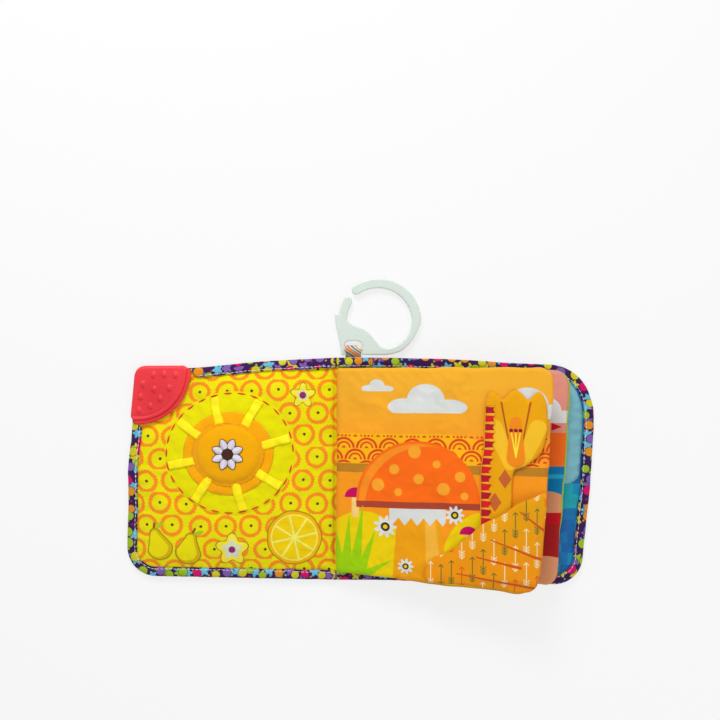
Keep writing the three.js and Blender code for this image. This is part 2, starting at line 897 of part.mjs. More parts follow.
const satinPad = {
  corners: [
    { x: satinRoot, y: satinFoot, radius: foldCornerRadius },
    { x: foreEdge(backPad, satinFoot) - satinMargin, y: satinFoot, radius: satinFootRadius },
    { x: foreEdge(backPad, backHead) - satinMargin, y: backHead - satinMargin, radius: satinHeadRadius },
    { x: satinRoot, y: backHead - satinMargin, radius: foldCornerRadius },
  ],
  steps: [4, 3, 4, 8],
};
const satinInsets = [0, coverInsets[2] - satinMargin, coverInsets[3] - satinMargin];
addPart(
  'back_satin_panel',
  sheetBody(
    satinInsets.map((inset) => outline(satinPad, inset)),
    (k, x, y) => pageTop(backPad, x, y) + satinGap,
    (k, x, y) => pageTop(backPad, x, y) + satinGap + felt,
  ),
  look.teal,
);

// Figure that slides in the pocket: a stem with a three-pointed flower head.

const leafTopHalf = leafHalfEdge + leafPuff;
const figureLow = leafTopHalf + drapeGap;
const pocketUnder = figureLow + figureThick + felt + 2 * drapeGap;

function topLeafHeight(x, above) {
  return topLeafMid(x) + above;
}

function figureOutline() {
  const right = figureStemLeft + figureStemWidth;
  const shape = new THREE.Shape();
  const left = figureHeadX - figureHeadWidth / 2;
  const far = figureHeadX + figureHeadWidth / 2;
  const foot = figureHeadY - figureHeadHeight / 2;
  const top = figureHeadY + figureHeadHeight / 2;
  shape.moveTo(figureStemLeft, figureFoot);
  shape.lineTo(right, figureFoot);
  shape.lineTo(right, foot);
  shape.bezierCurveTo(far, foot, far, figureHeadY, far, top - petalDip);
  shape.lineTo(far - figureHeadWidth / 8, top);
  shape.lineTo(figureHeadX + figureHeadWidth / 5, top - petalDip);
  shape.lineTo(figureHeadX, top);
  shape.lineTo(figureHeadX - figureHeadWidth / 5, top - petalDip);
  shape.lineTo(left + figureHeadWidth / 8, top);
  shape.lineTo(left, top - petalDip);
  shape.lineTo(left, figureHeadY);
  shape.lineTo(figureStemLeft, foot);
  shape.lineTo(figureStemLeft, figureFoot);
  return shape;
}

// A flat shape cut into bands across X, so that it can follow the leaf's curve.
function bentPlate(shape, low, thick, bands) {
  const flat = new THREE.ExtrudeGeometry(shape, { depth: thick, bevelEnabled: false, curveSegments: 6 });
  let solid = solidOf(flat);
  flat.computeBoundingBox();
  const box = flat.boundingBox;
  const span = (box.max.x - box.min.x) / bands;
  const pieces = [];
  for (let i = 0; i < bands; i += 1) {
    const cutter = new THREE.BoxGeometry(span, 2 * (box.max.y - box.min.y), 2 * thick);
    cutter.translate(box.min.x + span * (i + 0.5), (box.max.y + box.min.y) / 2, thick / 2);
    pieces.push(solid.intersect(solidOf(cutter)));
  }
  solid = pieces.reduce((whole, piece) => whole.add(piece));
  const geometry = geometryOf(solid);
  const position = geometry.attributes.position;
  for (let i = 0; i < position.count; i += 1) {
    position.setZ(i, position.getZ(i) + topLeafHeight(position.getX(i), low));
  }
  geometry.computeVertexNormals();
  return geometry;
}

addPart('pocket_figure', bentPlate(figureOutline(), figureLow, figureThick, 3), look.figure);

function trimOutline() {
  const teeth = Math.round((trimHead - trimFoot) / trimPitch);
  const pitch = (trimHead - trimFoot) / teeth;
  const left = figureStemLeft + gap;
  const shape = new THREE.Shape();
  shape.moveTo(left, trimFoot);
  for (let n = 0; n < teeth; n += 1) {
    shape.lineTo(left + trimWidth, trimFoot + pitch * n);
    shape.lineTo(left + trimWidth - trimTooth, trimFoot + pitch * (n + 0.5));
  }
  shape.lineTo(left + trimWidth, trimHead);
  shape.lineTo(left, trimHead);
  return shape;
}

addPart('figure_trim', bentPlate(trimOutline(), figureLow + figureThick + gap, felt, 1), look.red);

// Pocket: raised over the figure, sewn down at the fore edge and the foot.

const pocketPad = {
  corners: [
    { x: pocketTipX, y: pocketTipY, radius: pocketSeam / 2 },
    { x: foreEdge(topLeafPad, pocketTipY) - pocketInset, y: pocketTipY, radius: leafFootRadius },
    { x: foreEdge(topLeafPad, pocketMouthHead) - pocketInset, y: pocketMouthHead, radius: foldCornerRadius },
    { x: figureStemLeft - pocketSeam, y: pocketMouthHead - 2 * figureStemWidth / 3, radius: pocketSeam },
  ],
  steps: [5, 4, 3, 3],
};
const pocketInsets = [0, pocketSeam / 2, pocketSeam, 2 * pocketSeam];

function pocketLift(x, y) {
  const foot = y - pocketTipY;
  const fore = foreEdge(topLeafPad, y) - pocketInset - x;
  const sewn = Math.min(foot, fore, x - pocketTipX - pocketSeam);
  const rise = THREE.MathUtils.smoothstep(sewn, 0, pocketSeam);
  return THREE.MathUtils.lerp(figureLow, pocketUnder, rise);
}

addPart(
  'leaf_pocket',
  sheetBody(
    pocketInsets.map((inset) => outline(pocketPad, inset)),
    (k, x, y) => topLeafHeight(x, pocketLift(x, y)),
    (k, x, y) => topLeafHeight(x, pocketLift(x, y) + cloth),
  ),
  look.pocket,
);

// Plastic link: an open ring on a broad base, with a bar for the ribbon.

const barY = headHalf + barOffset;
const linkY = headHalf + linkCentreOffset;
const linkFoot = headHalf + linkFootOffset;

function linkPoint([along, up]) {
  return new THREE.Vector2(linkX + linkRadius * along, linkY + linkRadius * up);
}

// Adds a smooth run through points, or an arc, to a shape as short straight lines.
function addSmooth(shape, points) {
  const run = new THREE.SplineCurve([shape.currentPoint.clone(), ...points]);
  for (const p of run.getPoints(2 * points.length).slice(1)) shape.lineTo(p.x, p.y);
}

function addArc(shape, centre, radius, from, to, steps) {
  for (let i = 0; i <= steps; i += 1) {
    const angle = THREE.MathUtils.lerp(from, to, i / steps);
    shape.lineTo(centre.x + radius * Math.cos(angle), centre.y + radius * Math.sin(angle));
  }
}

function linkOutline() {
  const inner = linkRadius - linkBand;
  const slotLeft = ribbonX - linkSlotWidth / 2;
  const slotRight = ribbonX + linkSlotWidth / 2;
  const slotTop = headHalf + linkSlotTop;
  const shoulder = slotTop - linkSlotWidth / 4;
  const centre = linkPoint([0, 0]);
  const arm = new THREE.Vector2(linkRadius - linkBand / 2, 0)
    .rotateAround(new THREE.Vector2(), linkArmEnd)
    .add(centre);
  const tongue = linkPoint(linkTongueShare);
  const shape = new THREE.Shape();
  shape.moveTo(slotRight, linkFoot);
  shape.lineTo(linkX + linkBand, linkFoot);
  addSmooth(shape, linkShoulderShares.map(linkPoint));
  addArc(shape, centre, linkRadius, linkArmStart, linkArmEnd, 18);
  addArc(shape, arm, linkBand / 2, linkArmEnd, linkArmEnd + Math.PI, 6);
  addArc(shape, centre, inner, linkArmEnd, 0, 14);
  addSmooth(shape, linkLobeShares.map(linkPoint));
  addSmooth(shape, linkNeckShares.map(linkPoint));
  addArc(shape, tongue, tongueRadius, -tongueTurn, Math.PI - tongueTurn, 6);
  addSmooth(shape, linkBackShares.map(linkPoint));
  shape.lineTo(linkX - linkRadius + tongueRadius / 6, linkY + linkRadius * linkStepShare);
  addSmooth(shape, linkHeelShares.map(linkPoint));
  shape.lineTo(slotLeft - linkBand / 3, linkFoot);
  shape.lineTo(slotLeft, linkFoot);
  shape.lineTo(slotLeft, shoulder);
  shape.quadraticCurveTo(slotLeft, slotTop, ribbonX, slotTop);
  shape.quadraticCurveTo(slotRight, slotTop, slotRight, shoulder);
  shape.lineTo(slotRight, linkFoot);
  return shape;
}

function linkSolid() {
  const plate = new THREE.ExtrudeGeometry(linkOutline(), {
    depth: linkThick - 2 * linkBevel,
    bevelThickness: linkBevel,
    bevelSize: linkBevel,
    bevelOffset: -linkBevel,
    bevelSegments: 2,
    curveSegments: 4,
  });
  plate.translate(0, 0, linkBevel);
  const bar = new THREE.CylinderGeometry(barRadius, barRadius, linkSlotWidth + 2 * linkBevel, 16);
  bar.rotateZ(Math.PI / 2);
  bar.translate(ribbonX, barY, barHeight);
  return solidOf(plate).add(solidOf(bar));
}

addPart('link_ring', geometryOf(linkSolid()), look.plastic);

// Ribbon loop round the link's bar, sewn into the head binding.

function ribbonShape() {
  const outer = barRadius + barClearance + ribbonThick;
  const inner = barRadius + barClearance;
  const seam = headHalf + gap;
  const seamMid = boundHeight / 2;
  const seamHalfThick = ribbonThick + gap / 2;
  const shape = new THREE.Shape();
  shape.moveTo(seam, seamMid - seamHalfThick);
  shape.absarc(barY, barHeight, outer, -ribbonNeckTurn, ribbonNeckTurn, false);
  shape.lineTo(seam, seamMid + seamHalfThick);
  shape.lineTo(seam, seamMid - seamHalfThick);
  const hole = new THREE.Path();
  hole.moveTo(seam + 2 * ribbonThick, seamMid);
  hole.absarc(barY, barHeight, inner, ribbonNeckTurn, -ribbonNeckTurn, true);
  hole.lineTo(seam + 2 * ribbonThick, seamMid);
  shape.holes.push(hole);
  return shape;
}

function ribbonBody() {
  const geometry = new THREE.ExtrudeGeometry(ribbonShape(), {
    depth: ribbonWidth,
    bevelEnabled: false,
    curveSegments: 8,
  });
  const turn = new THREE.Matrix4().makeBasis(
    new THREE.Vector3(0, 1, 0),
    new THREE.Vector3(0, 0, 1),
    new THREE.Vector3(1, 0, 0),
  );
  geometry.applyMatrix4(turn);
  geometry.translate(ribbonX - ribbonWidth / 2, 0, 0);
  return geometry;
}

addPart('ribbon_loop', ribbonBody(), look.ribbon);

export default book;
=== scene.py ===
import json
import math
from functools import reduce

import bpy
import numpy as np
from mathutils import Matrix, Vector, geometry, noise
from mathutils.bvhtree import BVHTree

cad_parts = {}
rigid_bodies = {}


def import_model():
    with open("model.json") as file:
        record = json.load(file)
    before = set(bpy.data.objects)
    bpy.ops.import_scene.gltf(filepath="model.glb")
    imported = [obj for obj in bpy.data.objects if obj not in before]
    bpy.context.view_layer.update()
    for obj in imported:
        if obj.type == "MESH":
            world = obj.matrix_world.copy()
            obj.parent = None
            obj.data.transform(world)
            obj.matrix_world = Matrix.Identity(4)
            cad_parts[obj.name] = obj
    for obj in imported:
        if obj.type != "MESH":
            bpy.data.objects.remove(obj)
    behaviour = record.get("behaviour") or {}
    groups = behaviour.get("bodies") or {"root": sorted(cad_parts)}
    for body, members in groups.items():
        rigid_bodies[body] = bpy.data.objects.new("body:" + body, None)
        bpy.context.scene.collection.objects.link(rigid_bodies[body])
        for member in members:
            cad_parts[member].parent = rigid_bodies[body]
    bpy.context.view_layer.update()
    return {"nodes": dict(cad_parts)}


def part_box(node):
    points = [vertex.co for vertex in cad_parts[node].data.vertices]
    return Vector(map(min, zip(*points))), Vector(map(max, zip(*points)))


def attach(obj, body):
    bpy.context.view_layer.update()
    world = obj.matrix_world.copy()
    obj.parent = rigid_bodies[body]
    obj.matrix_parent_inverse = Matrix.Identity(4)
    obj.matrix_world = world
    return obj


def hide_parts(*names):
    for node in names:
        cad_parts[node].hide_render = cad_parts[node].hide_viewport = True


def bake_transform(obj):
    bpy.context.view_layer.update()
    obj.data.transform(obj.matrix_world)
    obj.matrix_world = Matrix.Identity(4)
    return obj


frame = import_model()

# Crinkle cloth book. Sizes and places are in millimetres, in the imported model's frame,
# and become metres where a mesh is made.

MM = 0.001
TURN = 2 * math.pi

# Cloth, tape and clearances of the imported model.

CLOTH = 1.1
TAPE = 1.0
GAP = 0.3
EDGE_LIFT = TAPE + GAP
PAGE_LOW = EDGE_LIFT + CLOTH + GAP
PAGE_EDGE_TOP = PAGE_LOW + CLOTH
BOUND_HEIGHT = PAGE_EDGE_TOP + GAP + TAPE
COVER_MIDDLE = PAGE_LOW - GAP / 2
COVER_PUFF = 5.0
SPINE_HALF = 14.0
FOLD_GAP = 0.6
FOLD_LAP = 2.0
HEAD_HALF = 84.5
BIND_WIDTH = 7.6
TAPE_WIDTH = 2 * BIND_WIDTH + BOUND_HEIGHT
STITCH_INSET = 6.2
STITCH_TOP = 5.42
STITCH_UNDER = 0.2

# Covers and leaves: corners counter-clockwise, with a radius or a bite; the last edge is the fold.

FRONT_PAD = [
    (-SPINE_HALF - FOLD_GAP, HEAD_HALF, 0.8),
    (-165.5, 77.0, "bite"),
    (-174.5, -81.2, 22.0),
    (-SPINE_HALF - FOLD_GAP, -HEAD_HALF, 0.8),
]
BACK_PAD = [
    (SPINE_HALF + FOLD_GAP, -HEAD_HALF, 0.8),
    (171.5, -88.5, 22.0),
    (181.5, 81.5, 33.0),
    (SPINE_HALF + FOLD_GAP, HEAD_HALF, 0.8),
]
TOP_ROOT = -13.6
TOP_LEAF_PAD = [(TOP_ROOT, -76.5, 1.5), (132.6, -87.0, 18.0), (143.0, 77.8, 11.5), (TOP_ROOT, 76.5, 1.5)]
LOW_ROOT = -10.6
LOW_LEAF_PAD = [(LOW_ROOT, -76.5, 1.5), (150.5, -85.8, 9.5), (160.0, 75.5, 11.5), (LOW_ROOT, 76.5, 1.5)]
TEETHER_RADIUS = 39.2
BITE_RADIUS = 38.3

# Plan outlines.

OUTLINE_STEP = 2.0
CORNER_STEPS = 12


def unit(v):
    return v / np.linalg.norm(v)


def cross2(a, b):
    return a[0] * b[1] - a[1] * b[0]


def pad_line(pad, edge, inset):
    """A point on an edge that is moved inwards, and the directions along it and inwards."""
    a = np.array(pad[edge][:2])
    along = unit(np.array(pad[(edge + 1) % 4][:2]) - a)
    inward = np.array((-along[1], along[0]))
    return a + inward * inset, along, inward


def arc(centre, start, end, steps):
    a = start - centre
    sweep = math.atan2(cross2(a, end - centre), a @ (end - centre))
    c, s = (f(sweep * np.arange(steps + 1) / steps) for f in (np.cos, np.sin))
    return centre + np.column_stack([a[0] * c - a[1] * s, a[0] * s + a[1] * c])


def corner_arc(pad, index, inset, before, after):
    x, y, size = pad[index]
    corner = np.array((x, y))
    if size == "bite":
        reach = math.sqrt((BITE_RADIUS + inset) ** 2 - inset**2)
        start = corner + before[2] * inset - before[1] * reach
        end = corner + after[2] * inset + after[1] * reach
        return arc(corner, start, end, 2 * CORNER_STEPS)
    tip = before[0] + before[1] * cross2(after[0] - before[0], after[1]) / cross2(before[1], after[1])
    radius = max(size - inset, 0.6)
    reach = radius / math.tan(math.acos(-before[1] @ after[1]) / 2)
    start = tip - before[1] * reach
    return arc(start + before[2] * radius, start, tip + after[1] * reach, CORNER_STEPS)


def outline(pad, inset, fold_inset=None):
    """Plan points round a pad, moved inwards, and where each corner's arc starts and ends."""
    fold_inset = inset if fold_inset is None else fold_inset
    lines = [pad_line(pad, e, fold_inset if e == 3 else inset) for e in range(4)]
    arcs = [corner_arc(pad, c, inset, lines[c - 1], lines[c]) for c in range(4)]
    points, marks = [], []
    for c in range(4):
        steps = max(2, round(math.dist(pad[c][:2], pad[(c + 1) % 4][:2]) / OUTLINE_STEP))
        marks.append((len(points), len(points) + len(arcs[c]) - 1))
        points.extend(arcs[c])
        start, end = arcs[c][-1], arcs[(c + 1) % 4][0]
        points.extend(start + (end - start) * i / steps for i in range(1, steps))
    return np.array(points), marks


def smooth_closed(points, steps):
    """A closed smooth curve through given points."""
    p = np.array(points, float)
    before, after, beyond = np.roll(p, 1, 0), np.roll(p, -1, 0), np.roll(p, -2, 0)
    t = (np.arange(steps) / steps)[None, :, None]
    p, before, after, beyond = (q[:, None] for q in (p, before, after, beyond))
    slope = (after - before) * t
    square = (2 * before - 5 * p + 4 * after - beyond) * t**2
    cube = (3 * p - before - 3 * after + beyond) * t**3
    return ((2 * p + slope + square + cube) / 2).reshape(-1, 2)


def edge_facts(boundary, points):
    """Distance from each point to a closed outline, and how far along the outline that is."""
    ends = np.roll(boundary, -1, 0)
    lengths = np.linalg.norm(ends - boundary, axis=1)
    starts = np.concatenate([[0], np.cumsum(lengths)[:-1]])
    best = np.full(len(points), 1e9)
    along = np.zeros(len(points))
    for a, b, length, start in zip(boundary, ends, lengths, starts):
        t = np.clip(((points - a) @ (b - a)) / length**2, 0, 1)
        away = np.linalg.norm(points - a - t[:, None] * (b - a), axis=1)
        nearer = away < best
        best[nearer] = away[nearer]
        along[nearer] = start + t[nearer] * length
    return best, along


def inside(boundary, points):
    x, y = points.T
    odd = np.zeros(len(points), bool)
    for (ax, ay), (bx, by) in zip(boundary, np.roll(boundary, -1, 0)):
        if ay != by:
            odd ^= ((ay > y) != (by > y)) & (x < (bx - ax) * (y - ay) / (by - ay) + ax)
    return odd


def filled(boundary, spacing):
    """Plan points and triangles that fill an outline, with the outline's own points first."""
    low, high = boundary.min(0), boundary.max(0)
    rows = []
    for r, y in enumerate(np.arange(low[1], high[1], spacing * 0.866)):
        xs = np.arange(low[0] + spacing * (r % 2) / 2, high[0], spacing)
        rows.append(np.column_stack([xs, np.full(len(xs), y)]))
    points = np.vstack(rows)
    points = points[inside(boundary, points)]
    points = np.vstack([boundary, points[edge_facts(boundary, points)[0] > 0.6 * spacing]])
    made = geometry.delaunay_2d_cdt([Vector(p) for p in points], [], [list(range(len(boundary)))], 1, 1e-6)
    triangles = np.array([[made[3][v][0] for v in face] for face in made[2]])
    a, b, c = (points[triangles[:, k]] for k in range(3))
    turned = cross2((b - a).T, (c - a).T) < 0
    triangles[turned] = triangles[turned][:, ::-1]
    return points, triangles


# Heights.


def wave(x, y, size, seed):
    """Smooth random heights between about -1 and 1."""
    return np.array([noise.fractal(Vector((a / size, b / size, seed)), 1.0, 2.0, 2) for a, b in zip(x, y)])


def creases(x, y, size, seed):
    """Sharp-crested random heights between 0 and about 1, as crinkled film makes."""
    places = [Vector((a / size, b / size, seed)) for a, b in zip(x, y)]
    return np.array([noise.ridged_multi_fractal(p, 1.0, 2.1, 3, 1.0, 2.0) / 2 for p in places])


def ramp(value, low, high):
    t = np.clip((np.asarray(value, float) - low) / (high - low), 0, 1)
    return t * t * (3 - 2 * t)


def bell(value, middle, width):
    return np.exp(-(((value - middle) / width) ** 2))


def rounded(away, radius):
    """Rises from 0 at an edge to 1 at the radius, as a quarter circle does."""
    return np.sqrt(np.clip(1 - (1 - np.clip(away / radius, 0, 1)) ** 2, 0, 1))


def beside(rows, height):
    """Plan points with their heights."""
    return np.column_stack([rows, np.zeros(len(rows)) + height])


def at_level(z):
    return lambda x, y, away, along: z


def over_surface(surface, lift):
    return lambda x, y, away, along: surface.heights(x, y) + lift


# Pieces.


def make_piece(name, points, faces, look, body):
    """A mesh object from points in millimetres, which keeps its place in plan for its print."""
    points = np.asarray(points, float)
    mesh = bpy.data.meshes.new(name)
    mesh.from_pydata((points * MM).tolist(), [], [list(map(int, f)) for f in faces])
    plan = mesh.attributes.new("plan", "FLOAT_VECTOR", "POINT")
    plan.data.foreach_set("vector", points.astype(np.float32).ravel())
    mesh.materials.append(LOOK[look])
    mesh.polygons.foreach_set("use_smooth", [True] * len(mesh.polygons))
    mesh.update()
    piece = bpy.data.objects.new(name, mesh)
    bpy.context.scene.collection.objects.link(piece)
    if body:
        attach(piece, body)
    return piece


def sheet_piece(name, boundary, spacing, top, bottom, look, body):
    """A closed cloth body over an outline. Top and bottom give heights from x, y, the
    distance to the edge and the place along it."""
    plan, triangles = filled(boundary, spacing)
    place = (*plan.T, *edge_facts(boundary, plan))
    points = np.vstack([beside(plan, top(*place)), beside(plan, bottom(*place))])
    count, edge = len(plan), len(boundary)
    faces = [tuple(t) for t in triangles] + [tuple(t[::-1] + count) for t in triangles]
    rim = [(i, (i + 1) % edge) for i in range(edge)]
    if cross2(boundary[1] - boundary[0], boundary.mean(0) - boundary[0]) > 0:
        faces += [(i + count, j + count, j, i) for i, j in rim]
    else:
        faces += [(i, j, j + count, i + count) for i, j in rim]
    return make_piece(name, points, faces, look, body)


def sweep_piece(name, rails, look, body, closed=False):
    """A closed body from the corners of a section, each moved along its own rail of 3-D points."""
    rails = np.array(rails)
    corners, steps = rails.shape[:2]
    faces = []
    for i in range(steps if closed else steps - 1):
        a, b = i * corners, (i + 1) % steps * corners
        for m in range(corners):
            n = (m + 1) % corners
            faces.append((a + m, a + n, b + n, b + m))
    if not closed:
        faces += [tuple(range(corners))[::-1], tuple((steps - 1) * corners + m for m in range(corners))]
    return face_out(make_piece(name, rails.transpose(1, 0, 2).reshape(-1, 3), faces, look, body))


def face_out(piece):
    """Turns the faces of a closed body when they point in."""
    mesh = piece.data
    volume = 0.0
    for face in mesh.polygons:
        a, *others = (mesh.vertices[v].co for v in face.vertices)
        volume += sum(a.dot(b.cross(c)) for b, c in zip(others, others[1:]))
    if volume < 0:
        mesh.flip_normals()
    return piece


def fibres(name, rows, look, body, radius, shares, sides, sink=0.0):
    """Short threads along rows of 3-D points. Shares taper them, and their ends sink into the cloth."""
    points, faces = [], []
    last = len(shares) - 1
    for row in rows:
        along = unit(row[-1] - row[0])
        side = unit(np.cross(along, (0, 0, 1)))
        up = np.cross(side, along)
        base = len(points)
        for k, (centre, share) in enumerate(zip(row, shares)):
            for turn in TURN * np.arange(sides) / sides:
                ring = side * math.cos(turn) + up * math.sin(turn)
                points.append(centre + ring * radius * share - up * (sink if k in (0, last) else 0))
        for a in range(base, base + last * sides, sides):
            for m in range(sides):
                n = (m + 1) % sides
                faces.append((a + m, a + n, a + sides + n, a + sides + m))
        faces.append(tuple(base + m for m in range(sides))[::-1])
        faces.append(tuple(base + last * sides + m for m in range(sides)))
    return face_out(make_piece(name, points, faces, look, body))


def stitches(name, line, look, body, length=3.0, pitch=3.35, radius=0.22):
    """A row of thread stitches along a line of 3-D points."""
    line = np.asarray(line, float)
    reach = np.concatenate([[0], np.cumsum(np.linalg.norm(np.diff(line, axis=0), axis=1))])
    rows = []
    for start in np.arange(0, reach[-1] - length, pitch):
        places = np.linspace(start, start + length, 4)
        rows.append(np.column_stack([np.interp(places, reach, line[:, k]) for k in range(3)]))
    return fibres(name, rows, look, body, radius, (0.45, 1, 1, 0.45), 6, 0.9 * radius)


def points_of(mesh):
    """A mesh's points, in millimetres."""
    points = np.empty(len(mesh.vertices) * 3)
    mesh.vertices.foreach_get("co", points)
    return points.reshape(-1, 3) / MM


def move_points(mesh, points):
    mesh.vertices.foreach_set("co", (points * MM).ravel())
    mesh.update()


def upper_points(piece):
    """The upper points of a sheet body, which come before its lower ones."""
    return points_of(piece.data)[: len(piece.data.vertices) // 2]


PUFF_FRAMES = 16


def puff(piece, held, pressure, slack, cap, bed=None):
    """Lets a closed body's cloth swell and wrinkle by simulation. Held upper points and all lower
    ones stay. No point moves further than the cap or goes under the bed, in millimetres."""
    mesh = piece.data
    before = points_of(mesh)
    group = piece.vertex_groups.new(name="held")
    for index, share in enumerate(np.concatenate([held, np.ones(len(held))])):
        if share > 0:
            group.add([index], float(share), "REPLACE")
    cloth = piece.modifiers.new("cloth", "CLOTH")
    how = cloth.settings
    how.vertex_group_mass = "held"
    how.quality = 4
    how.mass = 0.1
    how.tension_stiffness = 15
    how.compression_stiffness = 15
    how.shear_stiffness = 5
    how.bending_stiffness = 0.02
    how.use_pressure = True
    how.uniform_pressure_force = pressure
    how.shrink_min = -slack
    how.shrink_max = -slack
    how.effector_weights.gravity = 0
    cloth.collision_settings.use_collision = False
    cloth.point_cache.frame_start = 1
    cloth.point_cache.frame_end = PUFF_FRAMES
    for step in range(1, PUFF_FRAMES + 1):
        bpy.context.scene.frame_set(step)
    after = points_of(piece.evaluated_get(bpy.context.evaluated_depsgraph_get()).data)
    piece.modifiers.remove(cloth)
    piece.vertex_groups.remove(group)
    bpy.context.scene.frame_set(1)
    moved = np.nan_to_num(after - before)
    length = np.linalg.norm(moved, axis=1)[:, None]
    after = before + moved * cap * np.tanh(length / cap) / np.maximum(length, 1e-6)
    if bed is not None:
        after[:, 2] = np.maximum(after[:, 2], bed)
    move_points(mesh, after)


def crisp(piece):
    """Shades the piece's folded rim apart from its faces."""
    piece.data.set_sharp_from_angle(angle=math.radians(50))
    return piece


def dress(piece, slot, *nodes):
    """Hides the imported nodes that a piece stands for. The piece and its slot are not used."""
    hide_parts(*nodes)


class Surface:
    """The upper side of a piece, asked for its height in millimetres at a place in plan."""

    def __init__(self, piece):
        points = [v.co[:] for v in piece.data.vertices]
        self.tree = BVHTree.FromPolygons(points, [f.vertices[:] for f in piece.data.polygons])
        self.top = max(p[2] for p in points) + 0.01

    def at(self, x, y):
        """Height at a place, or close by where a ray slips between two faces or past the rim."""
        for reach in (0, 0.04, 0.4, 1.2, 3.0):
            for turn in range(8 if reach else 1):
                a = x + reach * math.cos(turn * 0.8 + 0.1)
                b = y + reach * math.sin(turn * 0.8 + 0.1)
                hit = self.tree.ray_cast(Vector((a * MM, b * MM, self.top)), Vector((0, 0, -1)))[0]
                if hit is not None:
                    return hit.z / MM
        raise ValueError(f"nothing under {x:.1f}, {y:.1f}")

    def heights(self, x, y):
        return np.array([self.at(a, b) for a, b in zip(x, y)])


# Materials: each is a small program of nodes that reads the place in plan.


def step(operation):
    return lambda number, *other: number.ink.math(operation, number, *other)


class Number:
    """A number at every point of a surface."""

    def __init__(self, ink, socket):
        self.ink = ink
        self.socket = socket

    def __rsub__(self, other):
        return self.ink.math("SUBTRACT", other, self)

    __add__ = step("ADD")
    __sub__ = step("SUBTRACT")
    __mul__ = step("MULTIPLY")
    __truediv__ = step("DIVIDE")
    __abs__ = step("ABSOLUTE")
    __floor__ = step("FLOOR")
    __round__ = step("ROUND")


def rgb(text):
    """Linear red, green, blue and full cover of a hexadecimal sRGB colour."""
    values = [int(text[i : i + 2], 16) / 255 for i in (0, 2, 4)]
    return (*(v / 12.92 if v <= 0.04045 else ((v + 0.055) / 1.055) ** 2.4 for v in values), 1)


class Nodes:
    """The nodes of a material or of the world."""

    def __init__(self, owner):
        owner.use_nodes = True
        self.tree = owner.node_tree
        self.tree.nodes.clear()

    def link(self, value, socket):
        value = getattr(value, "socket", value)
        if isinstance(value, bpy.types.NodeSocket):
            self.tree.links.new(value, socket)
        else:
            socket.default_value = value

    def node(self, kind, *values, **settings):
        """A node with its first inputs. Settings with a capital are inputs by name."""
        made = self.tree.nodes.new("ShaderNode" + kind)
        for key, value in settings.items():
            if key[0].isupper():
                self.link(value, made.inputs[key.replace("_", " ")])
            else:
                setattr(made, key, value)
        for value, socket in zip(values, made.inputs):
            self.link(value, socket)
        return made

    def mix(self, share, colour, other):
        made = self.node("Mix", share, data_type="RGBA")
        self.link(colour, made.inputs[6])
        self.link(other, made.inputs[7])
        return made.outputs[2]


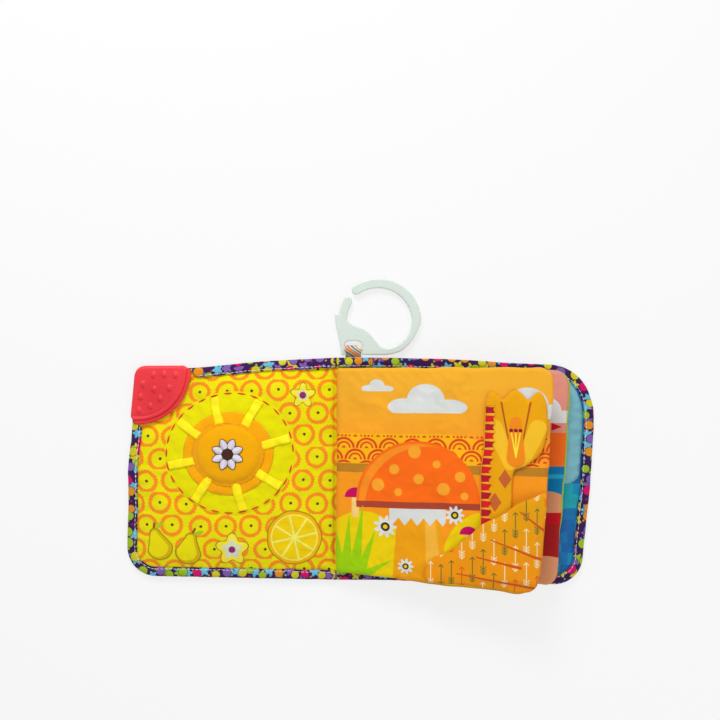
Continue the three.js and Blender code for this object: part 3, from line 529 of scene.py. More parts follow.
class Ink(Nodes):
    """A material whose colour is laid down shape over shape."""

    def __init__(self, name, ground):
        self.material = bpy.data.materials.new(name)
        super().__init__(self.material)
        self.space = self.node("Attribute", attribute_name="plan").outputs["Vector"]
        self.place = self.vector("MULTIPLY", self.space, (1, 1, 0)).outputs[0]
        self.x, self.y, self.up = self.parts(self.space)
        self.colour = rgb(ground)

    def math(self, operation, *values, clamp=False):
        return Number(self, self.node("Math", *values, operation=operation, use_clamp=clamp).outputs[0])

    def vector(self, operation, *values):
        return self.node("VectorMath", *values, operation=operation)

    def measure(self, operation, *values):
        return Number(self, self.vector(operation, *values).outputs["Value"])

    def parts(self, value, kind="SeparateXYZ"):
        return [Number(self, socket) for socket in self.node(kind, value).outputs]

    def dot(self, x, y, shift, place=None):
        return self.measure("DOT_PRODUCT", place or self.place, (x, y, 0)) + shift

    def distance(self, x, y, place=None):
        return self.measure("DISTANCE", place or self.place, (x, y, 0))

    def local(self, x, y):
        return self.node("CombineXYZ", x, y).outputs[0]

    def turned(self, x, y, angle):
        """Place measured from (x, y) along axes turned by an angle."""
        c, s = math.cos(angle), math.sin(angle)
        return self.dot(c, s, -(c * x + s * y)), self.dot(-s, c, s * x - c * y)

    def smallest(self, *values):
        return reduce(lambda a, b: self.math("MINIMUM", a, b), values)

    def largest(self, *values):
        return reduce(lambda a, b: self.math("MAXIMUM", a, b), values)

    def odd(self, row):
        return self.math("MODULO", abs(row), 2.0)

    def cells(self, x, y, pitch_x, pitch_y):
        """Staggered cells: the column and row of each, and the place in it from 0 to 1."""
        y = y / pitch_y
        row = math.floor(y)
        x = x / pitch_x + self.odd(row) * 0.5
        column = math.floor(x)
        return column, row, x - column, y - row

    # Signed distances to shapes, negative inside.

    def disc(self, x, y, radius, place=None):
        return self.distance(x, y, place) - radius

    def ring(self, x, y, radius, width, place=None):
        return abs(self.distance(x, y, place) - radius) - width / 2

    def oval(self, x, y, rx, ry, angle=0.0):
        u, v = self.turned(x, y, angle)
        return (self.measure("LENGTH", self.local(u / rx, v / ry)) - 1) * min(rx, ry)

    def stroke(self, ax, ay, bx, by, radius, end_radius=None, place=None):
        """A line with round ends, which may taper."""
        u, v = bx - ax, by - ay
        square = u**2 + v**2
        share = self.dot(u / square, v / square, -(ax * u + ay * v) / square, place)
        share = self.largest(self.smallest(share, 1.0), 0.0)
        nearest = self.vector("MULTIPLY_ADD", share, (u, v, 0), (ax, ay, 0)).outputs[0]
        away = self.measure("DISTANCE", place or self.place, nearest)
        return away - (radius if end_radius is None else share * (end_radius - radius) + radius)

    def polygon(self, points):
        """A convex polygon, counter-clockwise."""
        sides = []
        for (ax, ay), (bx, by) in zip(points, points[1:] + points[:1]):
            length = math.dist((ax, ay), (bx, by))
            nx, ny = (by - ay) / length, (ax - bx) / length
            sides.append(self.dot(nx, ny, -(nx * ax + ny * ay)))
        return self.largest(*sides)

    def flower(self, x, y, radius, depth, petals, turn=0.0):
        """A round shape whose rim goes in and out."""
        u, v = self.turned(x, y, turn)
        rim = self.math("COSINE", self.math("ARCTAN2", v, u) * petals) * depth + radius
        return self.distance(x, y) - rim

    def noise(self, scale, detail):
        return Number(self, self.node("TexNoise", self.space, Scale=scale, Detail=detail).outputs[0])

    # Laying colour.

    def mask(self, distance, soft):
        return self.math("MULTIPLY_ADD", distance, -1 / soft, 0.5, clamp=True)

    def over(self, mask, colour):
        self.colour = self.mix(mask, self.colour, rgb(colour) if isinstance(colour, str) else colour)

    def shape(self, distance, colour, soft=0.35):
        self.over(self.mask(distance, soft), colour)

    def palette(self, value, colours, places=None):
        """One of several colours, picked by a number from 0 to 1."""
        made = self.node("ValToRGB", value)
        made.color_ramp.interpolation = "CONSTANT"
        stops = made.color_ramp.elements
        for _ in colours[2:]:
            stops.new(1.0)
        for i, colour in enumerate(colours):
            stops[i].position = places[i] if places else i / len(colours)
            stops[i].color = rgb(colour)
        return made.outputs[0]

    def shade(self, factor):
        """Multiplies the colour by a number."""
        colour = self.colour[:3] if isinstance(self.colour, tuple) else self.colour
        self.colour = self.node("VectorMath", colour, operation="SCALE", Scale=factor).outputs[0]

    def finish(self, roughness, bumps, sheen=0.0, specular=0.5, subsurface=0.0):
        """The shader: bumps are (height, size in millimetres) pairs."""
        shader = self.node("BsdfPrincipled", self.colour, Roughness=roughness)
        shader.inputs["Sheen Weight"].default_value = sheen
        shader.inputs["Specular IOR Level"].default_value = specular
        if subsurface:
            shader.inputs["Subsurface Weight"].default_value = subsurface
            shader.inputs["Subsurface Scale"].default_value = 0.002
        normal = None
        for height, size in bumps:
            bump = self.node("Bump", Strength=1.0, Distance=size * MM, Height=height)
            if normal:
                self.link(normal, bump.inputs["Normal"])
            normal = bump.outputs[0]
        self.link(normal, shader.inputs["Normal"])
        self.node("OutputMaterial", shader.outputs[0])
        return self.material

    def cloth(self, roughness, sheen, wrinkle, wrinkle_scale=0.07, specular=0.14):
        """Ends a cloth: uneven dye, soft wrinkles and crossed threads."""
        self.shade(self.noise(0.045, 3.0) * 0.14 + 0.95)
        turn = TURN / 0.55
        weave = self.math("SINE", self.x * turn) * self.math("SINE", self.y * turn)
        bumps = [(self.noise(wrinkle_scale, 3.0), wrinkle * 4), (weave, 0.05)]
        return self.finish(roughness, bumps, sheen=0.5 * sheen, specular=specular)


def plain(name, colour, roughness=0.85, sheen=0.1, wrinkle=0.2):
    return Ink(name, colour).cloth(roughness, sheen, wrinkle)


def thread(name, colour):
    return plain(name, colour, 0.6, 0.3, 0.0)


def confetti_cloth():
    """Purple cotton strewn with bright spots, stars and small dots."""
    ink = Ink("binding_confetti", "371550")

    def scattered(scale, shift, bright, radius, star):
        moved = ink.vector("ADD", ink.place, (shift, 2 * shift, 0)).outputs[0]
        found = ink.node("TexVoronoi", moved, voronoi_dimensions="2D", Scale=scale, Randomness=0.55)
        hue, spread, lean = ink.parts(found.outputs["Color"], "SeparateColor")
        colour = ink.palette(hue, bright)
        offset = ink.vector("SUBTRACT", moved, found.outputs["Position"]).outputs[0]
        size = spread * (0.3 * radius) + 0.85 * radius
        away = ink.measure("LENGTH", offset)
        if star:
            u, v, _ = ink.parts(offset)
            turn = ink.math("ARCTAN2", v, u) + lean * 6
            size = size * (1.15 - ink.math("PINGPONG", turn * (5 / math.pi), 1.0) * 0.62)
        ink.shape(away - size - 0.35, "1d0b30")
        ink.shape(away - size, colour)

    scattered(0.17, 77.0, ["66b8d6", "e08f1c", "d20668"], 0.75, False)
    scattered(0.103, 31.0, ["66b8d6", "7f5ba8", "cfc621", "66b8d6", "9cba1c"], 3.7, True)
    scattered(0.099, 0.0, ["9cba1c", "d20668", "e08f1c", "7f5ba8", "cfc621"], 3.3, False)
    return ink.cloth(0.8, 0.15, 0.3, 0.12)


def yellow_print():
    """Yellow cloth with staggered ragged orange rings, a seed in each, fruit and blossoms."""
    ink = Ink("page_rings", "ece100")
    pitch_x, pitch_y = 19.6, 17.0
    column, row, u, v = ink.cells(ink.x, ink.y, pitch_x, pitch_y)
    jitter = ink.node("TexWhiteNoise", ink.local(column, row), noise_dimensions="2D")
    right, up, lean = ink.parts(jitter.outputs["Color"], "SeparateColor")
    u = (u - 0.5) * pitch_x + right * 2.0 - 1.0
    v = (v - 0.5) * pitch_y + up * 2.0 - 1.0
    cell = ink.local(u, v)
    ragged = ink.math("SINE", ink.math("ARCTAN2", v, u) * 22.0 + lean * 6.0) * 0.28
    wobble = ink.noise(0.16, 1.0) * 1.6 - 0.8
    ink.shape(abs(ink.distance(0, 0, cell) + wobble - 7.3) - 1.35 - ragged, "fa8f1c", 0.5)
    ink.shape(ink.distance(0.4, 0.2, cell) - 1.1, "5a3212", 0.5)
    pear(ink, -148.5, -56.0, 0.3)
    pear(ink, -125.5, -59.5, -0.2)
    blossom(ink, -93.0, -60.5, 11.0)
    lemon_slice(ink, -46.0, -51.5, 20.0)
    blossom(ink, -39.5, 56.0, 8.0)
    return ink.cloth(0.9, 0.2, 0.3)


def lemon_slice(ink, x, y, radius):
    """A round slice with eight lighter segments."""
    ink.shape(ink.flower(x, y, radius + 0.9, 0.25, 7), "a08a10", 0.5)
    ink.shape(ink.flower(x, y, radius, 0.25, 7), "f6b500", 0.4)
    ink.shape(ink.disc(x, y, radius - 2.2), "f4ee6a", 0.4)
    u, v = ink.turned(x, y, 0.2)
    turn = ink.math("ARCTAN2", v, u) * (8 / TURN)
    near_rib = abs(turn - round(turn)) * ink.distance(x, y) * (TURN / 8)
    segment = ink.largest(ink.disc(x, y, radius - 3.2), 0.75 - near_rib, 2.2 - ink.distance(x, y))
    ink.shape(segment, "f3cf00", 0.5)


def pear(ink, x, y, turn):
    """A pear with a stalk and a darker side."""
    c, s = math.cos(turn), math.sin(turn)

    def at(along, up):
        return x + c * along - s * up, y + s * along + c * up

    body = ink.stroke(*at(0, -3.0), *at(0, 7.5), 9.2, 3.9)
    ink.shape(ink.stroke(*at(0, 11.0), *at(1.6, 15.4), 0.8), "7a5a10", 0.4)
    ink.shape(body - 0.9, "a08a10", 0.5)
    ink.shape(body, "d9b400", 0.4)
    ink.shape(ink.stroke(*at(-1.2, -2.6), *at(-0.8, 7.6), 7.6, 2.8), "efe000", 0.8)
    ink.shape(ink.oval(*at(5.0, 13.0), 3.6, 1.5, turn + 0.5), "a8c91a", 0.4)


def blossom(ink, x, y, radius):
    """A five-petalled blossom."""
    ink.shape(ink.flower(x, y, radius, 2.3, 5, 0.3), "a08a10", 0.5)
    ink.shape(ink.flower(x, y, radius - 0.9, 2.2, 5, 0.3), "f6e53a", 0.4)
    ink.shape(ink.flower(x, y, radius - 4.6, 1.4, 5, 0.3), "d9dcc0", 0.5)
    ink.shape(ink.disc(x, y, 2.6), "8a2a6a", 0.4)


def cloud(ink, x, y, size):
    """A flat-bottomed cloud."""
    humps = [(0.0, 0.30, 0.62, 0.52), (-0.72, 0.06, 0.55, 0.28), (0.75, 0.04, 0.62, 0.26)]
    ovals = [ink.oval(x + a * size, y + b * size, rx * size, ry * size) for a, b, rx, ry in humps]
    ink.shape(ink.largest(ink.smallest(*ovals), (y - 0.16 * size) - ink.y), "d9dcd8")


def leaf_picture():
    """An orange landscape with clouds, hills, grass and a big dotted mushroom."""
    ink = Ink("leaf_picture", "ff981c")
    ink.over(ink.math("MULTIPLY_ADD", ink.y, 1 / 70, 0.1, clamp=True), "f2ae2c")
    cloud(ink, 52.0, 47.0, 22.0)
    cloud(ink, 16.0, 61.0, 9.0)
    cloud(ink, 124.0, 44.0, 23.0)
    ink.shape(ink.largest(ink.y - 28.0, ink.oval(30.0, -32.0, 130.0, 63.0)), "fbb90c")
    scallops(ink)
    ink.shape(abs(ink.y - 2.2) - 3.3, "bd7f20")
    ink.shape(ink.y + 1.1, "fb9a1a")
    hills = ink.smallest(ink.oval(6.0, -70.0, 34.0, 40.0), ink.oval(96.0, -66.0, 32.0, 38.0))
    ink.shape(hills, "efcf00")
    small_mushroom(ink, 0.5, -20.0, 8.0)
    small_mushroom(ink, 83.0, -45.0, 6.5)
    mushroom(ink, 46.0, -14.0)
    daisy(ink, 73.0, -31.0, 7.0)
    daisy(ink, 22.5, -41.0, 8.5)
    daisy(ink, 37.5, -70.0, 6.0)
    for foot, tip, width in [
        ((-6, -80), (-4, -34), 5.2),
        ((0, -80), (6, -26), 5.0),
        ((3, -80), (15, -44), 4.6),
        ((0, -82), (27, -66), 4.4),
        ((-9, -78), (-13, -46), 4.2),
    ]:
        ink.shape(ink.stroke(*foot, *tip, width, 0.2), "9ccf00")
    return ink.cloth(0.82, 0.1, 0.22, 0.05)


def scallops(ink):
    """A band of half rings, a common cloth pattern."""
    pitch = 17.0
    _, _, u, v = ink.cells(ink.x, ink.y, pitch, pitch / 2)
    cell = ink.local((u - 0.5) * pitch, v * (pitch / 2))
    rings = [ink.ring(0, 0, 7.2, 1.7, cell), ink.ring(0, 0, 4.4, 1.3, cell), ink.disc(0, 0, 1.5, cell)]
    ink.shape(ink.largest(ink.smallest(*rings), abs(ink.y - 16.5) - 10.5), "df3d1c", 0.5)


def small_mushroom(ink, x, y, size):
    """A plain magenta mushroom."""
    ink.shape(ink.stroke(x, y - 1.5 * size, x, y, 0.34 * size), "f6cf7a")
    ink.shape(ink.largest(ink.oval(x, y, size, 0.95 * size), y - ink.y), "c9005f")


def mushroom(ink, x, y):
    """The big mushroom: a stalk with a fringe, and a cap with dots and a lighter panel."""
    ink.shape(ink.stroke(x + 2, y - 62.0, x, y - 8.0, 20.0, 14.0), "f2a20a")
    ink.shape(ink.stroke(x + 12, y - 62.0, x + 9, y - 16.0, 5.5, 3.5), "f7b73a", 0.8)
    points = ink.math("PINGPONG", ink.x - x, 4.6) * 1.25
    fringe = ink.largest(abs(ink.x - x) - 20.5, (y - 25.5) - ink.y + points, ink.y - (y - 8.0))
    ink.shape(fringe, "d9dcd8")
    cap = ink.largest(ink.oval(x, y - 8.0, 45.0, 45.0), (y - 13.0) - ink.y)
    ink.shape(cap, "fc6c10")
    ink.shape(ink.largest(cap + 2.0, 0.0 - ink.oval(x + 7, y - 14.0, 46.0, 47.0)), "fb9020", 0.8)
    ink.shape(ink.largest(cap, (ink.y - (y - 8.2))), "a8442e")
    dots = [(-29, 4), (-17, 16), (-14, -1), (-2, 29), (1, 9), (14, 20), (19, 2), (31, 11), (34, -3)]
    spots = [ink.disc(x + a, y + b, 4.6 - (i % 3) * 0.9) for i, (a, b) in enumerate(dots)]
    ink.shape(ink.smallest(*spots), "f9a52b")


def daisy(ink, x, y, radius):
    """A white daisy with a dark middle and a yellow heart."""
    ink.shape(ink.flower(x, y, radius * 0.82, radius * 0.2, 9), "dfe2de")
    ink.shape(ink.disc(x, y, radius * 0.4), "3a2a1c")
    ink.shape(ink.disc(x, y, radius * 0.2), "f4c81a")


def bands(ink, on_blue):
    """Orange, blue and red bands under a sky, with shapes on the blue one."""
    ink.shape(ink.y - 28.5, "f26a1a")
    ink.shape(ink.y - 3.5, "0077ab")
    ink.shape(abs(ink.y + 4.0) - 1.6, "2aa0c4", 1.2)
    for row in on_blue:
        ink.shape(*row)
    ink.shape(ink.y + 31.0, "c4101c")
    ink.shape(ink.y + 39.5, "a81a1c")


def coral_print():
    """The lower leaf: coral sky, a cloud and bands with round patches."""
    ink = Ink("leaf_bands", "de907e")
    cloud(ink, 141.0, 39.0, 20.0)
    bands(ink, [(ink.oval(143.0, -28.0, 17.0, 13.0), "e0966a")])
    ink.shape(ink.oval(140.0, -80.0, 26.0, 17.0), "e0966a")
    ink.shape(ink.polygon([(146, 30), (154, 33), (146, 36)]), "c4101c")
    return ink.cloth(0.85, 0.1, 0.22, 0.05)


def leaf_back_print():
    """The back of the upper leaf: the sky and bands of the picture that faces it, with flowers."""
    ink = Ink("leaf_back_bands", "de907e")
    cloud(ink, 60.0, 44.0, 21.0)
    cloud(ink, 108.0, 57.0, 10.0)
    rings = ((30.0, -14.0), (74.0, -20.0), (116.0, -12.0))
    bands(ink, [(ink.ring(x, y, 6.0, 1.4), "2aa0c4", 0.8) for x, y in rings])
    for x in (24.0, 68.0, 104.0):
        ink.shape(ink.flower(x, -58.0, 8.0, 2.2, 6), "e0966a")
        ink.shape(ink.disc(x, -58.0, 2.6), "f4c81a")
    ink.shape(ink.y + 77.0, "e3a010")
    return ink.cloth(0.85, 0.1, 0.22, 0.05)


def blue_print():
    """The back page: blue patches of several shades in wavy bands."""
    ink = Ink("page_patches", "0070ad")
    bend = ink.noise(0.03, 1.0) * 9.0
    column, row, _, _ = ink.cells(ink.x + bend, ink.y + bend, 11.0, 8.5)
    pick = ink.node("TexWhiteNoise", ink.local(column, row), noise_dimensions="2D").outputs["Value"]
    for share, colour in ((0.45, "0088b6"), (0.68, "0a9fae"), (0.86, "0060a6")):
        ink.over(ink.math("GREATER_THAN", pick, share), colour)
    return ink.cloth(0.42, 0.05, 0.7, 0.06, 0.25)


def pocket_print():
    """Hill of the pocket: upright sprigs with chevrons, and brick-red contour lines."""
    ink = Ink("pocket_sprigs", "e8a008")
    ink.over(ink.mask(ink.y + 46.0, 40.0), "f0960a")
    pitch, long_pitch = 7.4, 24.0
    across = ink.x / pitch
    column = math.floor(across)
    u = (across - column - 0.5) * pitch
    chance = Number(ink, ink.node("TexWhiteNoise", noise_dimensions="1D", W=column).outputs["Value"])
    rise = (ink.y + chance * long_pitch) / long_pitch
    v = (rise - math.floor(rise) - 0.5) * long_pitch
    stem = ink.stroke(0, -8.5, 0, 8.5, 0.32, place=ink.local(u, v))
    side = abs(u)
    chevrons = [ink.largest(abs((v - side) - level) - 0.42, side - 2.0) for level in (-9.5, -7.6, -5.7)]
    head = ink.largest(abs((v + side) - 8.6) - 0.42, side - 1.8)
    kind = ink.math("FRACT", chance * 7.3 + math.floor(rise) * 0.37)
    colour = ink.palette(kind, ("f6e6b4", "2c6a2c", "e0501a"), (0.0, 0.5, 0.78))
    ink.shape(ink.smallest(stem, head, *chevrons), colour)
    for line in [(74, -73, 140, -82), (98, -47, 140, -62), (88, -60, 118, -66), (118, -26, 140, -43)]:
        ink.shape(ink.stroke(*line, 0.5, 1.1), "d2541a")
    return ink.cloth(0.85, 0.1, 0.25, 0.06)


def figure_cloth():
    """Orange-yellow felted cloth of the flower figure, with diamonds on the stem."""
    ink = Ink("figure_flower", "eca400")
    for x, y in ((108.0, -38.0), (101.0, -20.0), (108.0, -3.0)):
        ink.shape(abs(ink.x - x) * 1.5 + abs(ink.y - y) - 7.0, "c8612c")
    middle = 115.5
    for side in (-1, 1):
        petal = ink.stroke(middle + side * 4, 8.0, middle + side * 15, 34.0, 4.5, 6.0)
        vein = ink.stroke(middle + side * 1.5, 6.0, middle + side * 10.0, 52.0, 0.45, 0.7)
        ink.shape(petal, "f6bf26", 0.6)
        ink.shape(vein, "b5531f")
    ink.shape(ink.stroke(middle, 12.0, middle, 38.0, 6.5, 4.0), "f28a14", 0.6)
    for lean in (-3.2, 0.0, 3.2):
        ink.shape(ink.stroke(middle, 13.0, middle + lean, 31.0, 0.5), "fbe23a")
        ink.shape(ink.disc(middle + lean, 32.0, 1.4), "8d1c22")
    return ink.cloth(0.85, 0.25, 0.2)


def trim_cloth():
    """Red cloth in blocks of two shades, with a yellow slot between them."""
    ink = Ink("red_trim", "d81c20")
    pitch = 6.2
    block = ink.y / pitch
    ink.over(ink.odd(math.floor(block)), "b3102a")
    slot = abs(block - round(block)) * pitch
    ink.shape(slot - 0.3 - (ink.x - 90.0) * 0.07, "f3b21c")
    return ink.cloth(0.8, 0.2, 0.2)


def satin(name, colour, roughness=0.3, wrinkle=0.5, specular=0.5):
    """Shiny cloth with fine threads across."""
    ink = Ink(name, colour)
    ink.shade(ink.noise(0.035, 2.0) * 0.35 + 0.86)
    fine = ink.math("SINE", ink.y * (TURN / 0.5))
    bumps = [(ink.noise(0.05, 2.0), wrinkle * 4), (fine, 0.03)]
    return ink.finish(roughness, bumps, 0.1, specular)


def plush(name, colour, mottle=0.2):
    """Short-pile cloth."""
    ink = Ink(name, colour)
    pile = ink.noise(1.6, 2.0)
    ink.shade(pile * mottle + 1.0 - mottle / 2)
    return ink.finish(0.95, [(ink.noise(0.09, 2.0), 1.2), (pile, 0.5 * mottle)], 0.12, 0.1)


def silicone():
    """Red moulded silicone: soft shine, deeper colour in the middle."""
    ink = Ink("red_silicone", "ee3a42")
    ink.over(ink.mask(ink.distance(-150, 58) - 17.0, 26.0), "dc2c38")
    ink.shade(ink.noise(0.12, 3.0) * 0.12 + 0.96)
    return ink.finish(0.45, [(ink.noise(0.9, 3.0), 0.05)], specular=0.3, subsurface=0.1)


def link_plastic():
    """Pale grey-green moulded plastic, with a grain in the object's own space, in metres."""
    material = bpy.data.materials.new("link_plastic")
    nodes = Nodes(material)
    place = nodes.node("TexCoord").outputs["Object"]
    grain = nodes.node("TexNoise", place, Scale=60.0, Detail=3.0)
    fine = nodes.node("TexNoise", place, Scale=2500.0)
    bump = nodes.node("Bump", Distance=0.00004, Height=fine.outputs[0])
    tint = nodes.mix(grain.outputs[0], rgb("cddad1"), rgb("d6e1d9"))
    shader = nodes.node("BsdfPrincipled", tint, Roughness=0.38, Normal=bump.outputs[0])
    shader.inputs["Subsurface Weight"].default_value = 0.15
    shader.inputs["Subsurface Scale"].default_value = 0.003
    nodes.node("OutputMaterial", shader.outputs[0])
    return material


def ribbon_cloth():
    """Striped grosgrain: bands of green, white, red, teal and orange along the ribbon."""
    ink = Ink("striped_ribbon", "efe9dc")
    _, across = ink.turned(-1.5, 88.0, -0.64)
    band = across + ink.up * 0.3
    for level, half, colour in [
        (-3.9, 1.0, "5aa02c"),
        (-2.4, 0.3, "d8202c"),
        (-1.0, 0.8, "17708a"),
        (1.3, 1.05, "f08a1c"),
        (3.1, 0.4, "d8202c"),
        (4.9, 0.6, "2a8f9a"),
        (6.6, 0.5, "f0a01c"),
    ]:
        ink.shape(abs(band - level) - half, colour)
    return ink.finish(0.6, [(ink.math("SINE", ink.x * (TURN / 0.6)), 0.08)], 0.3, 0.4)


LOOK = {
    "confetti": confetti_cloth(),
    "yellow": yellow_print(),
    "picture": leaf_picture(),
    "coral": coral_print(),
    "lime": plain("lime_cloth", "a4c81a"),
    "leaf_back": leaf_back_print(),
    "seam": plain("seam_orange", "f59a1e"),
    "blue": blue_print(),
    "teal": satin("teal_satin", "70afbc"),
    "batting": plain("batting_white", "f2f0ea", 0.95, 0.4, 0.6),
    "silicone": silicone(),
    "sun_base": plush("sun_base_yellow", "e6dd00"),
    "sun_ring": plush("sun_ring_orange", "fbac04", 0.6),
    "sun_disc": plush("sun_disc_orange", "f2aa00"),
    "ray": satin("ray_ribbon", "fbea00", 0.45, 0.25, 0.2),
    "pocket": pocket_print(),
    "figure": figure_cloth(),
    "trim": trim_cloth(),
    "ribbon": ribbon_cloth(),
    "link": link_plastic(),
    "white_thread": thread("thread_white", "e9e4ef"),
    "red_thread": thread("thread_red", "e23b14"),
    "orange_thread": thread("thread_orange", "f2a21a"),
    "brown_thread": thread("thread_brown", "4a2412"),
}


# Quilted sun on the front page: its measures and places on it.

SUN_X = -94.2
SUN_Y = 12.95
SUN_SQUASH = 0.963
SUN_BASE_RADIUS = 48.8
SUN_RING_RADIUS = 33.8
SUN_RING_HOLE = 20.0
SUN_DISC_RADIUS = 27.0
SUN_DOME = 3.4
RAY_WIDTH = 6.8
RAY_TURNS = [14.4, 61.5, 105.0, 147.0, 192.8, 235.0, 282.4, 325.0]
FELT = 0.8


def sun_place(across, up):
    """Plan of a place on the sun. It is a little squashed, and its middle sits off centre."""
    away = np.hypot(across, up)
    aside = np.interp(away, [34.0, SUN_BASE_RADIUS], [-1.3, 0.0])
    below = np.interp(away, [SUN_DISC_RADIUS, SUN_BASE_RADIUS], [-0.85, 0.0])
    squash = np.interp(away, [SUN_DISC_RADIUS, SUN_RING_RADIUS, SUN_BASE_RADIUS], [0.915, 0.938, SUN_SQUASH])
    return np.stack([SUN_X + aside + across, SUN_Y + below + squash * up], -1)


def circle(radius, steps):
    turns = TURN * np.arange(steps) / steps
    return sun_place(radius * np.cos(turns), radius * np.sin(turns))


# Covers.


def soft_distance(pad, x, y):
    """Distance to a pad's edges with the corners rounded off. The fold counts as further away."""
    softness, fold_bonus = 5.0, 8.0
    points = np.column_stack([x, y])
    total = np.zeros(len(x))
    for edge in range(4):
        start, _, inward = pad_line(pad, edge, 0)
        away = (points - start) @ inward + (fold_bonus if edge == 3 else 0)
        total += np.exp(-away / softness)
        if pad[edge][2] == "bite":
            away = np.hypot(x - pad[edge][0], y - pad[edge][1]) - BITE_RADIUS
            total += np.exp(-away / softness)
    return -softness * np.log(total)


def cover_height(pad, seed):
    """Upper side of a cover: padding that rises from the bound edge, with puckers at the seam."""

    def height(x, y, away, along):
        inner = soft_distance(pad, x, y)
        rise = 1 - np.exp(-np.maximum(inner - 7.5, 0) / 14.6)
        pucker = np.sin(along * (TURN / 8.7) + 1.7 * wave(x, y, 30, seed))
        near = np.exp(-np.abs(inner - 13.0) / 5.0)
        roll = wave(x, y, 46, seed + 5) * 0.75 + wave(x, y, 15, seed + 9) * 0.22
        from_fold = np.abs(x) - SPINE_HALF
        fold_free = ramp(from_fold, 2.0, 9.0)
        pressed = 1.1 * fold_free * (1 - ramp(from_fold, 16.0, 42.0))
        relief = (0.34 * pucker * near + roll * ramp(inner, 8.0, 24.0)) * fold_free
        return PAGE_EDGE_TOP + COVER_PUFF * rise - pressed + relief

    return height


def puff_page(page, pad, prefix):
    """The page swells between its bound edge and, on the front, the sewn circle of the sun."""
    x, y, _ = upper_points(page).T
    held = 1 - ramp(soft_distance(pad, x, y), 8.0, 15.0)
    held = np.maximum(held, 1 - ramp(np.abs(x), SPINE_HALF + 3.0, SPINE_HALF + 34.0))
    if prefix == "front_cover":
        from_sun = np.hypot(x - SUN_X, (y - SUN_Y) / SUN_SQUASH)
        held = np.maximum(held, bell(from_sun, SUN_BASE_RADIUS - 1.4, 1.8))
        held = np.maximum(held, 1 - ramp(from_sun, SUN_DISC_RADIUS - 2, SUN_DISC_RADIUS + 6))
    puff(page, held, 1.0, 0.012, 1.3)


def add_cover(prefix, pad, look, slot, seed):
    boundary, _ = outline(pad, EDGE_LIFT, FOLD_LAP)

    def under(x, y, away, along):
        return EDGE_LIFT * (1 - ramp(soft_distance(pad, x, y), 9.0, 17.0))

    seam, below = at_level(COVER_MIDDLE), at_level(COVER_MIDDLE - GAP)
    page = sheet_piece(f"{prefix}_page", boundary, 2.4, cover_height(pad, seed), seam, look, prefix)
    puff_page(page, pad, prefix)
    dress(crisp(page), slot, f"{prefix}_inside_page", f"{prefix}_crinkle_film", f"{prefix}_batting")
    outer = sheet_piece(f"{prefix}_outer_cloth", boundary, 3.4, below, under, "confetti", prefix)
    dress(outer, "binding_cloth", f"{prefix}_outer_panel")
    return Surface(page)


front_top = add_cover("front_cover", FRONT_PAD, "yellow", "yellow_print", 3.0)
back_top = add_cover("back_cover", BACK_PAD, "blue", "blue_print", 21.0)

# Folded tape round the bound edges: its section in distance from the edge and height.

TAPE_SECTION = [
    *[(BIND_WIDTH, 4.95), (BIND_WIDTH - 0.8, 5.2), (6.4, 5.35), (4.2, 5.35), (2.6, 5.15), (1.3, 4.65)],
    *[(0.4, 3.9), (0.0, 2.9), (0.0, 2.2), (0.35, 1.25), (1.1, 0.5), (2.3, 0.12), (4.4, 0.02)],
    *[(BIND_WIDTH, 0.02), (BIND_WIDTH, 0.95), (TAPE + 0.3, TAPE)],
    *[(TAPE, BOUND_HEIGHT - TAPE), (BIND_WIDTH, BOUND_HEIGHT - TAPE)],
]


def tape_rail(pad, inset, z, start, end, seed, upper):
    """A rail of the tape between two places of an outline, with small ripples sideways and up."""
    edge, deeper = (outline(pad, i, 0.0)[0][start : end + 1] for i in (inset, inset + 1.0))
    x, y = edge.T
    share = inset / BIND_WIDTH
    side = wave(x, y, 11, seed) * 0.45 * (0.4 + share)
    lift = (wave(x, y, 5.5, seed + 4) * 0.5 + 0.1) * ramp(share, 0.3, 1.0)
    steps = np.arange(len(edge))
    calm = ramp(np.minimum(steps, steps[::-1]), 0, 6)
    moved = edge + (deeper - edge) * (side * calm)[:, None]
    return beside(moved, z + (lift * calm if upper else 0))


def add_binding(name, body, pad, start, end, seed):
    """Tape along a cover from the arc's end at one corner to the arc's start at another."""
    marks = outline(pad, 0, 0)[1]
    run = (marks[start][1], marks[end][0], seed)
    rails = [tape_rail(pad, inset, z, *run, z > 3) for inset, z in TAPE_SECTION]
    piece = sweep_piece(f"{name}_tape", rails, "confetti", body)
    dress(piece, "binding_cloth", name)
    line = tape_rail(pad, STITCH_INSET, STITCH_TOP, *run, True)
    seam = stitches(f"{name}_stitches", line, "white_thread", body)
    below = stitches(f"{name}_under_stitches", beside(line[:, :2], STITCH_UNDER), "white_thread", body)
    length = float(np.linalg.norm(np.diff(line[:, :2], axis=0), axis=1).sum())
    flat = (TAPE_WIDTH * MM, length * MM)


add_binding("front_binding_head", "front_cover", FRONT_PAD, 0, 1, 31.0)
add_binding("front_binding_side", "front_cover", FRONT_PAD, 1, 3, 33.0)
add_binding("back_binding", "back_cover", BACK_PAD, 0, 3, 35.0)

# Spine: outer strip, gutter strip, padding, end tapes and the leaves' seam tape.

SPINE_END = HEAD_HALF - EDGE_LIFT
INNER_SPINE = SPINE_HALF - 2.0


def strip_piece(name, section, left, right, look, body=None, steps=14):
    """A body that runs across X, from its section along Y and Z."""
    xs = np.linspace(left, right, steps + 1)
    rails = [np.column_stack([xs, np.full(len(xs), y), np.full(len(xs), z)]) for y, z in section]
    return sweep_piece(name, rails, look, body)


def spine_piece(name, section, look):
    return strip_piece(name, section, -INNER_SPINE, INNER_SPINE, look, "spine")


